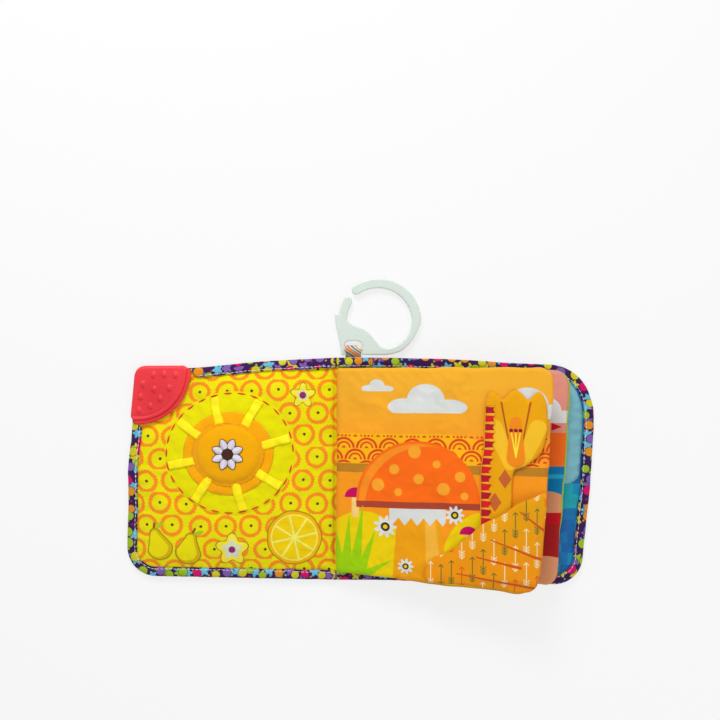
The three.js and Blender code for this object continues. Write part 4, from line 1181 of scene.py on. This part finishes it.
def dipped(edge, middle):
    """Section of a spine strip, which lies lower or higher between the tapes than at its ends."""
    bend = SPINE_END - BIND_WIDTH
    flat = bend - BIND_WIDTH / 2
    ys = [-SPINE_END, -bend, *np.linspace(-flat, flat, 12), bend, SPINE_END]
    under = [(y, middle if abs(y) <= flat else edge) for y in ys]
    return under + [(y, z + CLOTH) for y, z in reversed(under)]


def tape_section(side):
    return [(side * (HEAD_HALF - inset), z) for inset, z in TAPE_SECTION]


OUTER_SECTION = dipped(EDGE_LIFT, 0.0)
GUTTER_SECTION = dipped(PAGE_LOW, 2 * (CLOTH + GAP) - 0.1)


def add_spine():
    outer = spine_piece("spine_outer_cloth", OUTER_SECTION, "confetti")
    dress(outer, "binding_cloth", "spine_outer_panel")
    gutter = spine_piece("spine_gutter_cloth", GUTTER_SECTION, "yellow")
    dress(crisp(gutter), "yellow_print", "spine_gutter_strip")
    (_, y, z), (_, far_y, far_z) = (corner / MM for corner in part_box("spine_batting"))
    corners = [(y, z), (far_y, z), (far_y, far_z), (y, far_z)]
    pad = strip_piece("spine_pad", corners, -INNER_SPINE + 1, INNER_SPINE - 1, "batting", "spine")
    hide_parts("spine_batting")
    flat = (2 * INNER_SPINE * MM, 2 * SPINE_END * MM)
    flat = (2 * INNER_SPINE * MM, TAPE_WIDTH * MM)
    for name, side in (("spine_binding_head", 1), ("spine_binding_foot", -1)):
        tape = spine_piece(name + "_tape", tape_section(side), "confetti")
        dress(tape, "binding_cloth", name)
        line = [(x, side * (HEAD_HALF - STITCH_INSET), STITCH_TOP) for x in (-INNER_SPINE, INNER_SPINE)]
        row = stitches(name + "_stitches", line, "white_thread", "spine")
    (left, y, z), (right, far_y, _) = (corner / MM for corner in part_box("gutter_seam_tape"))
    ys = np.linspace(y, far_y, 40)
    section = [(y, z) for y in ys] + [(y, z + TAPE) for y in reversed(ys)]
    seam = strip_piece("leaf_seam_tape", section, left, right, "seam", "spine", 4)
    dress(seam, "leaf_print", "gutter_seam_tape")


add_spine()

# Folds: cloth over the hinge between the spine and each cover.


def spread_print(piece, start, factor):
    """Lays more of the print across a fold, which stretches where the book closes."""
    plan = piece.data.attributes["plan"]
    values = np.empty(len(plan.data) * 3, np.float32)
    plan.data.foreach_get("vector", values)
    values[0::3] = start + (values[0::3] - start) * factor
    plan.data.foreach_set("vector", values)


def add_fold(side, body):
    inner, outer = side * INNER_SPINE, side * (SPINE_HALF + FOLD_GAP + FOLD_LAP)
    for name, section, look, slot, spread in [
        ("outer_cloth", OUTER_SECTION, "confetti", "binding_cloth", 4.0),
        ("page_cloth", GUTTER_SECTION, "yellow", "yellow_print", 1.0),
        ("head_tape", tape_section(1), "confetti", "binding_cloth", 3.0),
        ("foot_tape", tape_section(-1), "confetti", "binding_cloth", 3.0),
    ]:
        ends = sorted((inner, outer))
        piece = strip_piece(f"{body}_fold_{name}", section, *ends, look, None, 10)
        crisp(piece)
        spread_print(piece, inner, spread)
        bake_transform(piece)


add_fold(-1, "front_cover")
add_fold(1, "back_cover")

# Silicone teether. Places on it are measured from the cover's corner, across and down.

teether_corner = np.array(FRONT_PAD[1][:2])
teether_right = -pad_line(FRONT_PAD, 0, 0)[1]
teether_down = pad_line(FRONT_PAD, 1, 0)[1]
TEETHER_HIGH = 8.2
TEETHER_ROUND = 2.4
NUB_RADIUS = 2.3
NUBS = [
    *[(0.335, 0.127), (0.55, 0.12), (0.782, 0.132), (0.142, 0.3), (0.377, 0.4)],
    *[(0.682, 0.38), (0.115, 0.547), (0.522, 0.582), (0.107, 0.8), (0.337, 0.725)],
]


def teether_place(across, down):
    return teether_corner + teether_right * across + teether_down * down


def teether_outline():
    """Body of the teether: a quarter disc that stands a little proud of the cover's corner."""
    over, above, corner = 2.6, 2.1, 6.5
    start = teether_place(TEETHER_RADIUS - 1.2, -above)
    end = teether_place(-over, TEETHER_RADIUS - 0.4)
    begin = math.atan2(*(start - teether_corner)[::-1])
    finish = math.atan2(*(end - teether_corner)[::-1])
    if begin > 0:
        begin -= TURN
    if finish > begin:
        finish -= TURN
    angles = begin + (finish - begin) * np.linspace(0.03, 0.97, 40)
    rim = teether_corner + TEETHER_RADIUS * np.column_stack([np.cos(angles), np.sin(angles)])
    near, far, tip = (teether_place(*p) for p in ((-over, corner), (corner, -above), (-over, -above)))
    bend = [near * (1 - t) ** 2 + tip * 2 * t * (1 - t) + far * t**2 for t in np.linspace(0, 1, 12)]
    left = [end + (near - end) * t for t in np.linspace(0.08, 0.96, 22)]
    top = [far + (start - far) * t for t in np.linspace(0.04, 0.92, 22)]
    return np.vstack([rim, left, bend, top])[::-1]


def teether_top(x, y, away, along):
    """A rounded edge, a soft rise, a groove inside the rim and the nubs."""
    z = TEETHER_HIGH - TEETHER_ROUND + TEETHER_ROUND * rounded(away, TEETHER_ROUND)
    z += 0.5 * ramp(away, 2, 14)
    from_corner = np.hypot(x - teether_corner[0], y - teether_corner[1])
    z -= 0.95 * bell(from_corner, TEETHER_RADIUS - 3.4, 0.75)
    for across, down in NUBS:
        place = teether_place(across * TEETHER_RADIUS, down * TEETHER_RADIUS)
        z += 1.5 * rounded(NUB_RADIUS - np.hypot(x - place[0], y - place[1]), NUB_RADIUS)
    return z


def teether_under(x, y, away, along):
    return 0.6 + 2.0 * (1 - rounded(away, 2.0))


def add_teether():
    rim = teether_outline()
    body = sheet_piece("teether_body", rim, 0.85, teether_top, teether_under, "silicone", "front_cover")
    dress(body, "red_silicone", "teether_corner")
    begin = math.atan2(teether_down[1], teether_down[0]) + 0.02
    finish = begin + math.acos(teether_right @ teether_down) - 0.04
    turns = np.linspace(begin, finish, 60)
    directions = np.column_stack([np.cos(turns), np.sin(turns)])
    scallop = 0.12 * np.sin(turns * 34) + 0.2 * np.sin(turns * 9 + 1)
    low = BOUND_HEIGHT + 0.25
    section = [(-3.0, 0.0), (2.3, -0.05), (2.8, 0.35), (2.4, 0.85), (1.5, 0.95), (0.9, 1.6), (0.2, 1.0)]
    rails = []
    for out, up in section + [(-3.0, 0.9)]:
        reach = TEETHER_RADIUS + out + scallop * (out > 2)
        rails.append(beside(teether_corner + directions * reach[:, None], low + up))
    sweep_piece("teether_flange", rails, "silicone", "front_cover")
    line = beside(teether_corner + directions[2:-2] * (TEETHER_RADIUS + 1.75), low + 0.98)
    stitches("teether_stitches", line, "red_thread", "front_cover", radius=0.25)


add_teether()

# Quilted sun: base with a dashed seam, ring, ribbon rays and the padded centre.

RING_LIFT = 0.1 + FELT + 0.2


def closed_line(ring, surface, lift):
    """A ring of plan points laid on a surface, with its first point again at the end."""
    line = beside(ring, surface.heights(*ring.T) + lift)
    return np.vstack([line, line[:1]])


def add_sun_base():
    rim = circle(SUN_BASE_RADIUS, 150)
    low = over_surface(front_top, 0.05)

    def high(x, y, away, along):
        gather = 0.28 * np.sin(along * (TURN / 6.6)) * np.exp(-np.abs(away - 4.6) / 2.2)
        thick = FELT * (0.12 + 0.88 * ramp(away, 0, 3.2))
        return low(x, y, away, along) + thick + gather * ramp(away, 0.5, 3.5)

    base = crisp(sheet_piece("sun_base_cloth", rim, 1.9, high, low, "sun_base", "front_cover"))
    dress(base, "sun_yellow", "sun_base")
    line = closed_line(circle(SUN_BASE_RADIUS - 1.4, 180), Surface(base), 0.3)
    dashes = stitches("sun_base_dashes", line, "red_thread", "front_cover", 6.8, 10.25, 0.62)


def add_sun_ring():
    outer, inner = circle(SUN_RING_RADIUS, 120), circle(SUN_RING_HOLE, 120)
    rails = []
    for share, up in [(0, 0.0), (0.03, 0.5), (0.12, 0.8), (0.5, 0.85), (0.85, 0.8), (1, 0.5), (1, 0.0)]:
        ring = outer + (inner - outer) * share
        rails.append(beside(ring, front_top.heights(*ring.T) + RING_LIFT + up))
    piece = sweep_piece("sun_ring_cloth", rails, "sun_ring", "front_cover", closed=True)
    dress(piece, "sun_orange", "sun_ring")


def add_ray(n, lift):
    """A ribbon that lies from under the centre disc to the edge of the base."""
    angle = math.radians(RAY_TURNS[n])
    out = np.array((math.cos(angle), math.sin(angle)))
    side = np.array((-out[1], out[0]))
    along = np.linspace(SUN_DISC_RADIUS - 2.5, SUN_BASE_RADIUS - 2.3, 26)
    droop = ramp(along, SUN_RING_RADIUS - 1.5, SUN_RING_RADIUS + 2.5) * 0.75
    bow = 1 + 0.05 * np.sin(along * 0.45 + n)
    profile = [(-0.5, 0.0), (-0.49, 0.35), (-0.3, 0.62), (0.0, 0.68), (0.3, 0.6), (0.49, 0.33), (0.5, 0.0)]
    rails = []
    for across, up in profile:
        plan = sun_place(*(along[:, None] * out + (across * RAY_WIDTH * bow)[:, None] * side).T)
        ripple = 0.14 * np.sin(along * 0.8 + 2 * n) * (up > 0.3)
        rails.append(beside(plan, front_top.heights(*plan.T) + lift - droop + up + ripple))
    ray = sweep_piece(f"sun_ribbon_{n + 1}", rails, "ray", "front_cover")
    dress(ray, "ray_ribbon", f"sun_ray_{n + 1}")


def add_disc(lift):
    """The padded centre with its double stitched rim and an embroidered rosette."""
    ground = float(np.mean(front_top.heights(*circle(SUN_DISC_RADIUS, 24).T))) + lift

    def high(x, y, away, along):
        dome = SUN_DOME * (1 - np.exp(-np.maximum(away - 2.6, 0) / 3.4))
        rim = 1.0 * ramp(away, 0, 1.0) - 0.5 * bell(away, 2.4, 0.7)
        pucker = 0.16 * np.sin(along * (TURN / 3.4)) * np.exp(-np.abs(away - 3.8) / 1.6)
        return ground + rim + dome + pucker + 0.2 * wave(x, y, 9, 61.0)

    rim = circle(SUN_DISC_RADIUS, 140)
    disc = sheet_piece("sun_centre_pad", rim, 1.3, high, at_level(ground - 0.1), "sun_disc", "front_cover")
    dress(disc, "sun_orange", "sun_centre_cover", "sun_centre_filling")
    top = Surface(disc)
    for name, inset in (("sun_rim_stitches", 1.1), ("sun_rim_inner_stitches", 2.5)):
        line = closed_line(circle(SUN_DISC_RADIUS - inset, 160), top, 0.12)
        stitches(name, line, "orange_thread", "front_cover", 1.9, 2.4, 0.26)
    embroider_flower(top)


def embroider_flower(top):
    """A satin-stitched flower in the middle of the sun: dark petals, white ones on them, a heart."""
    middle = sun_place(0.0, 0.0)
    pitch = 0.42

    def sew(rows, ends, lift):
        a, b = ends
        points = np.array([a, (a + b) / 2, b])
        rows.append(beside(points, top.heights(*points.T) + (0.2 + lift, 0.34 + lift, 0.2 + lift)))

    def finish(kind, rows, look):
        fibres(f"sun_flower_{kind}", rows, look, "front_cover", 0.27, (0.8, 1, 0.8), 5)

    for kind, look, first, last, half, lift in [
        ("outline", "brown_thread", 4.2, 12.6, 3.3, 0.0),
        ("petal", "white_thread", 4.6, 12.0, 2.7, 0.14),
    ]:
        rows = []
        for n in range(8):
            angle = TURN * (n + 0.5) / 8
            out = np.array((math.cos(angle), math.sin(angle)))
            side = np.array((-out[1], out[0]))
            for reach in np.arange(first, last, pitch):
                share = (reach - first) / (last - first)
                wide = half * math.sin(math.pi * min(0.16 + 0.84 * share, 0.97)) ** 0.7
                if kind == "outline" or wide > 0.5:
                    place = middle + out * reach
                    sew(rows, (place - side * wide, place + side * wide), lift)
        finish(kind, rows, look)
    rows = []
    for step in np.arange(-4.0, 4.01, pitch):
        wide = math.sqrt(max(4.1**2 - step**2, 0.1))
        sew(rows, (middle + (-wide, step), middle + (wide, step)), 0.28)
    finish("heart", rows, "brown_thread")


add_sun_base()
add_sun_ring()
for ray_index in range(len(RAY_TURNS)):
    add_ray(ray_index, RING_LIFT + 0.95)
add_disc(RING_LIFT + 1.2)

# Satin panel over the head part of the back page.


def add_satin():
    left, right, foot, head = 95.0, 172.2, -11.0, 73.6
    pad = [(left, foot, 1.5), (right - 5.0, foot, 9.0), (right, head - 0.8, 23.8), (left, head, 1.5)]
    boundary, _ = outline(pad, 0.0)

    def top(x, y, away, along):
        drape = 0.8 * np.sin(y * 0.27 + 1.6 * wave(x, y, 22, 71.0)) + 0.5 * np.sin(y * 0.6 + x * 0.16)
        rise = 0.35 + 0.45 * ramp(away, 0, 1.5) + 1.6 * ramp(away, 0, 10) + drape * ramp(away, 0, 9)
        return back_top.heights(x, y) + rise

    under = over_surface(back_top, 0.1)
    piece = sheet_piece("back_satin_cloth", boundary, 2.0, top, under, "teal", "back_cover")
    plan = upper_points(piece)[:, :2]
    away, _ = edge_facts(boundary, plan)
    bed = back_top.heights(*plan.T)
    puff(piece, 1 - ramp(away, 1.0, 5.0), 0.8, 0.02, 1.2, np.concatenate([bed + 0.5, bed + 0.1]))
    dress(piece, "teal_satin", "back_satin_panel")


add_satin()

# Leaves. Each lifts along its length, as its middle line says, and is thicker away from its edge.

LEAF_EDGE_HALF = 1.15
LEAF_PUFF = 1.6


def top_leaf_middle(x):
    u = (x - TOP_ROOT) / 156.6
    return 10.1 + 8.0 * (1 - (1 - u) ** 4) + 27.0 * u**2


def low_leaf_middle(x):
    u = (x - LOW_ROOT) / 170.6
    return 7.4 + 5.2 * (1 - (1 - u) ** 3) + 4.5 * u**2


def leaf_half(away):
    return 0.12 + LEAF_EDGE_HALF * rounded(away, 1.8) + LEAF_PUFF * (1 - np.exp(-away / 17.0))


def wavy(boundary, amount, seed):
    """The outline with soft in-and-out waves, calm near the root."""
    along = np.roll(boundary, -1, 0) - np.roll(boundary, 1, 0)
    along /= np.linalg.norm(along, axis=1)[:, None]
    outward = np.column_stack([along[:, 1], -along[:, 0]])
    size = amount * wave(*boundary.T, 24, seed) * ramp(boundary[:, 0], -5, 40)
    return boundary + outward * size[:, None]


def add_leaf(prefix, pad, middle, looks, slots, seed):
    plain_edge, _ = outline(pad, 0.0)
    x, y = plain_edge.T
    if prefix == "low_leaf":
        grown = (ramp(x, 145, 150) * ramp(y, -60, -20))[:, None] * (1, 0)
    else:
        grown = (ramp(-y, 68, 76) * ramp(x, 30, 60))[:, None] * (0, -1)
    boundary = wavy(plain_edge, 1.1, seed)
    backing = wavy(plain_edge + grown, 1.1, seed)

    def relief(x, y, away):
        crinkle = creases(x, y, 34, seed + 2) * 0.75 + wave(x, y, 50, seed + 3) * 0.7
        gather = 0.25 * np.sin((x + y) * (TURN / 9.0)) * np.exp(-away / 4.0)
        return (crinkle - 0.35 + gather) * ramp(away, 0, 9) * ramp(x, -10, 12)

    def top(x, y, away, along):
        return middle(x) + leaf_half(away) + relief(x, y, away)

    def seam(x, y, away, along):
        return middle(x) + 0.3 * relief(x, y, away)

    def below_seam(x, y, away, along):
        return middle(x) + 0.3 * relief(x, y, np.maximum(away - 1.5, 0)) - 0.05

    def under(x, y, away, along):
        return middle(x) - leaf_half(away) + 0.5 * relief(x, y, away)

    front = sheet_piece(f"{prefix}_front_cloth", boundary, 2.0, top, seam, looks[0], prefix)
    back = sheet_piece(f"{prefix}_back_cloth", backing, 3.0, below_seam, under, looks[1], prefix)
    plan = upper_points(front)[:, :2]
    away, _ = edge_facts(boundary, plan)
    held = np.maximum(1 - ramp(away, 1.5, 7.0), 1 - ramp(plan[:, 0], -10, 2))
    puff(front, np.maximum(held, ramp(plan[:, 0], 78.0, 90.0)), 0.8, 0.012, 1.2)
    dress(front, slots[0], f"{prefix}_front_panel", f"{prefix}_crinkle_film")
    dress(back, slots[1], f"{prefix}_back_panel")


TOP_SLOTS, LOW_SLOTS = ("leaf_print", "coral_print"), ("coral_print", "lime_cloth")
add_leaf("top_leaf", TOP_LEAF_PAD, top_leaf_middle, ("picture", "leaf_back"), TOP_SLOTS, 81.0)
add_leaf("low_leaf", LOW_LEAF_PAD, low_leaf_middle, ("coral", "lime"), LOW_SLOTS, 91.0)

# Figure, its toothed trim, and the pocket that holds it.

FIGURE_THICK = 1.8
FIGURE_CORNERS = [
    *[(113, -48), (91, -48), (91, 2), (93.6, 20), (93.5, 38), (94.4, 52), (98, 60), (101.5, 59)],
    *[(106.8, 53.5), (111, 58.5), (115.5, 62), (120, 58.5), (124.3, 53.5), (129, 59), (133, 60)],
    *[(136.8, 52), (137.5, 33), (133, 15), (122, 6.5), (113, 3)],
]
POCKET_LINE = [
    *[(137.0, -13.6), (127, -15.6), (116, -20.5), (106, -28.5), (92, -36), (84, -44.5), (69, -57.5)],
    *[(57, -63), (51.6, -72), (53.5, -80.3), (75, -81.4), (100, -83.3), (119, -84.6), (128.6, -80.5)],
    *[(132.9, -62), (134.8, -38)],
]


def figure_outline():
    """The figure's corners, each rounded off."""
    points = np.array(FIGURE_CORNERS, float)[::-1]
    found = []
    for a, b, c in zip(np.roll(points, 1, 0), points, np.roll(points, -1, 0)):
        start, end = b + (a - b) * 0.3, b + (c - b) * 0.3
        for t in np.linspace(0, 1, 6):
            found.append(start * (1 - t) ** 2 + b * 2 * t * (1 - t) + end * t**2)
    return np.array(found)


def leaf_line(x):
    """The leaf's upper face without its creases, which what slides on it follows."""
    return top_leaf_middle(x) + LEAF_EDGE_HALF + LEAF_PUFF


def trim_outline():
    """A strip along the figure's side, with teeth on its inner edge."""
    teeth, foot, head = 15, -46.0, 50.0
    pitch = (head - foot) / teeth

    def side(y):
        return float(np.interp(y, [foot, 2, 20, head], [91.5, 91.5, 94.0, 94.8]))

    edge = []
    for n in range(teeth):
        low, high = foot + pitch * n, foot + pitch * (n + 0.55)
        edge += [(side(low) + 7.0, low), (side(high) + 5.0, high)]
    edge += [(side(head) + 6.4, head)]
    return np.array(edge + [(side(y), y) for y in np.linspace(head, foot, 26)])


def add_figure():
    boundary = figure_outline()

    def top(x, y, away, along):
        thick = FIGURE_THICK * (0.35 + 0.65 * ramp(away, 0, 1.5))
        return leaf_line(x) + 1.0 + thick + 0.25 * wave(x, y, 25, 101.0)

    def under(x, y, away, along):
        return leaf_line(x) + 0.75

    piece = sheet_piece("pocket_flower_figure", boundary, 1.8, top, under, "figure", "figure")
    dress(piece, "figure_felt", "pocket_figure")
    surface = Surface(piece)
    high, low = over_surface(surface, 0.55), over_surface(surface, -0.1)
    trim = sheet_piece("figure_toothed_trim", trim_outline(), 1.2, high, low, "trim", "figure")
    dress(trim, "red_trim", "figure_trim")


add_figure()


def add_pocket():
    """A wavy crest that stands open, then the seams along the leaf's fore edge and foot."""
    boundary = smooth_closed(POCKET_LINE[::-1], 7)

    def lift(x, y):
        crest = np.interp(x, [52, 69, 84, 92, 106, 116, 137], [-76, -58, -45, -36, -28, -20, -13])
        from_foot = y + 81.5 + 0.03 * (x - 52)
        from_side = (136.5 - 0.02 * (20 - y)) - x
        sewn = np.minimum(np.minimum(from_foot, from_side), x - 53.0)
        return 0.9 + 4.2 * ramp(sewn, 0, 9) * np.maximum(ramp(x, 78, 96), 0.35 * ramp(crest - y, 0, 9))

    def under(x, y, away, along):
        return leaf_line(x) + lift(x, y)

    def top(x, y, away, along):
        fold = 0.35 * np.sin(x * 0.31 + 0.8 * wave(x, y, 18, 111.0)) * ramp(away, 0, 7)
        thick = CLOTH * (0.4 + 0.6 * ramp(away, 0, 1.2))
        return under(x, y, away, along) + thick + np.maximum(fold, -0.3) + 0.15 * wave(x, y, 12, 113.0)

    piece = sheet_piece("leaf_pocket_cloth", boundary, 1.8, top, under, "pocket", "top_leaf")
    dress(piece, "pocket_print", "leaf_pocket")


add_pocket()

# Soft edges bow and dip a little in plan, and what is on them goes along.

FRONT_BOW = [
    (-60, -46, -34, -22, -12, -3, 6, 14, 22, 34, 44),
    (0, 0.7, 0.9, 1.4, 2.1, 3.0, 2.9, 2.3, 1.7, 1.6, 1.6),
]
BACK_BOW = [(-66, -52, -44, -34, -26, -15, 30, 40, 48, 55), (0.3, 0.8, 1.3, 1.6, 2.2, 2.7, 2.8, 2.4, 1.4, 0)]


def settled(name, x, y):
    """How far a piece's points move in plan, or None where the piece stays."""
    if name.startswith("teether_"):
        from_corner = np.column_stack([x, y]) - teether_corner
        a, d = from_corner @ teether_right / 40, from_corner @ teether_down / 40
        return 1.12 - 1.95 * a - 1.72 * d, -0.74 - 1.86 * a - 0.5 * d
    if name.startswith(("front_cover_page", "front_cover_outer_cloth", "front_binding_", "sun_")):
        bow = -np.interp(y, *FRONT_BOW) * ramp(-x, 118.0, 168.0)
        return bow, -2.4 * ramp(-x, 62.0, 128.0) * ramp(y, 20.0, 78.0)
    if name.startswith(("back_cover_page", "back_cover_outer_cloth", "back_binding_", "back_satin_cloth")):
        bow = np.interp(y, *BACK_BOW) * ramp(x, 130.0, 178.0)
        return bow, -2.7 * ramp(x, 60.0, 142.0) * ramp(y, 20.0, 78.0)
    if name.startswith("top_leaf_"):
        slant = np.clip(1.2 * y / 76 - 0.2, -1.2, 0.0)
        return slant * (1 - ramp(x, -13.0, 25.0)), 0.0
    return None


def settle():
    for piece in bpy.data.objects:
        if piece.type == "MESH" and piece.name not in frame["nodes"]:
            points = points_of(piece.data)
            moved = settled(piece.name, points[:, 0], points[:, 1])
            if moved is not None:
                points[:, 0] += moved[0]
                points[:, 1] += moved[1]
                move_points(piece.data, points)


settle()

# Ribbon loop and plastic link.

RIBBON_X = -1.5
RIBBON_WIDTH = 12.0
RIBBON_THICK = 0.8
BAR_Y = HEAD_HALF + 6.5
BAR_Z = 2.9
BAR_RADIUS = 1.6


def add_ribbon():
    """A loop round the link's bar whose two ends go into the head binding."""
    wrap = BAR_RADIUS + 0.45
    seam_y = HEAD_HALF + 0.25
    turn = math.radians(112)
    angles = np.linspace(-turn, turn, 22)
    outer, inner = (
        [(BAR_Y + radius * math.cos(a), BAR_Z + radius * math.sin(a)) for a in angles]
        for radius in (wrap + RIBBON_THICK, wrap)
    )
    middle = BOUND_HEIGHT / 2
    loop = [(seam_y, middle - 1.0), *outer, (seam_y, middle + 1.0)]
    loop += [(seam_y, middle + 0.15), (seam_y + 2.2, middle + 0.15), *inner[::-1]]
    loop += [(seam_y + 2.2, middle - 0.15), (seam_y, middle - 0.15)]
    ends = (RIBBON_X - RIBBON_WIDTH / 2, RIBBON_X + RIBBON_WIDTH / 2)
    piece = strip_piece("ribbon_loop_cloth", loop, *ends, "ribbon", "ribbon")
    dress(piece, "striped_ribbon", "ribbon_loop")


def finish_link():
    mesh = frame["nodes"]["link_ring"].data
    mesh.materials.clear()
    mesh.materials.append(LOOK["link"])
    mesh.polygons.foreach_set("use_smooth", [True] * len(mesh.polygons))
    mesh.set_sharp_from_angle(angle=math.radians(35))


add_ribbon()
finish_link()

# Floor, light and camera, in metres.


def eye_ray(nodes):
    """1 where a ray starts at the camera, a mirror or a clear thing, else 0."""
    path = nodes.node("LightPath").outputs
    seen = nodes.node("Math", path["Is Glossy Ray"], path["Is Transmission Ray"], operation="MAXIMUM")
    return nodes.node("Math", path["Is Camera Ray"], seen.outputs[0], operation="MAXIMUM").outputs[0]


def add_floor():
    """A white floor that looks evenly bright and still shows shadows."""
    size, drop = 12.0, 0.0002
    mesh = bpy.data.meshes.new("floor")
    corners = [(-size, -size, -drop), (size, -size, -drop), (size, size, -drop), (-size, size, -drop)]
    mesh.from_pydata(corners, [], [(0, 1, 2, 3)])
    floor = bpy.data.objects.new("floor", mesh)
    bpy.context.scene.collection.objects.link(floor)
    material = bpy.data.materials.new("floor_white")
    nodes = Nodes(material)
    shaded = nodes.node("BsdfDiffuse", (0.2, 0.2, 0.2, 1)).outputs[0]
    glow = nodes.node("Emission", (1, 1, 1, 1), 0.745).outputs[0]
    seen = nodes.node("AddShader", shaded, glow).outputs[0]
    lit = nodes.node("BsdfDiffuse", (0.85, 0.85, 0.85, 1)).outputs[0]
    nodes.node("OutputMaterial", nodes.node("MixShader", eye_ray(nodes), lit, seen).outputs[0])
    mesh.materials.append(material)


def add_lamp(name, place, size, power):
    """A round lamp that points at the frame's origin."""
    data = bpy.data.lights.new(name, "AREA")
    data.shape = "DISK"
    data.size = size
    data.energy = power
    lamp = bpy.data.objects.new(name, data)
    bpy.context.scene.collection.objects.link(lamp)
    lamp.location = place
    lamp.rotation_euler = (-Vector(place)).to_track_quat("-Z", "Y").to_euler()


def add_world():
    """White surroundings, dimmer for the light they throw than for the eye."""
    world = bpy.data.worlds.new("studio")
    bpy.context.scene.world = world
    nodes = Nodes(world)
    strength = nodes.node("MapRange", eye_ray(nodes), To_Min=0.5, To_Max=0.85)
    back = nodes.node("Background", (1, 1, 1, 1), strength.outputs[0])
    nodes.node("OutputWorld", back.outputs[0])


def add_camera():
    """Straight down, as photographed: the frame is 550 mm wide at the floor."""
    height, frame_width, sensor = 700.0, 550.0, 36.0
    data = bpy.data.cameras.new("camera")
    data.sensor_width = sensor
    data.lens = sensor * height / frame_width
    camera = bpy.data.objects.new("camera", data)
    bpy.context.scene.collection.objects.link(camera)
    camera.location = (3.6 * MM, 82.7 * MM, height * MM)
    bpy.context.scene.camera = camera


add_floor()
add_lamp("key", (-0.2, 0.95, 0.75), 0.45, 8.8)
add_lamp("fill", (0.6, -0.5, 0.95), 0.9, 3.4)
add_world()
add_camera()
bpy.context.scene.view_settings.view_transform = "Standard"
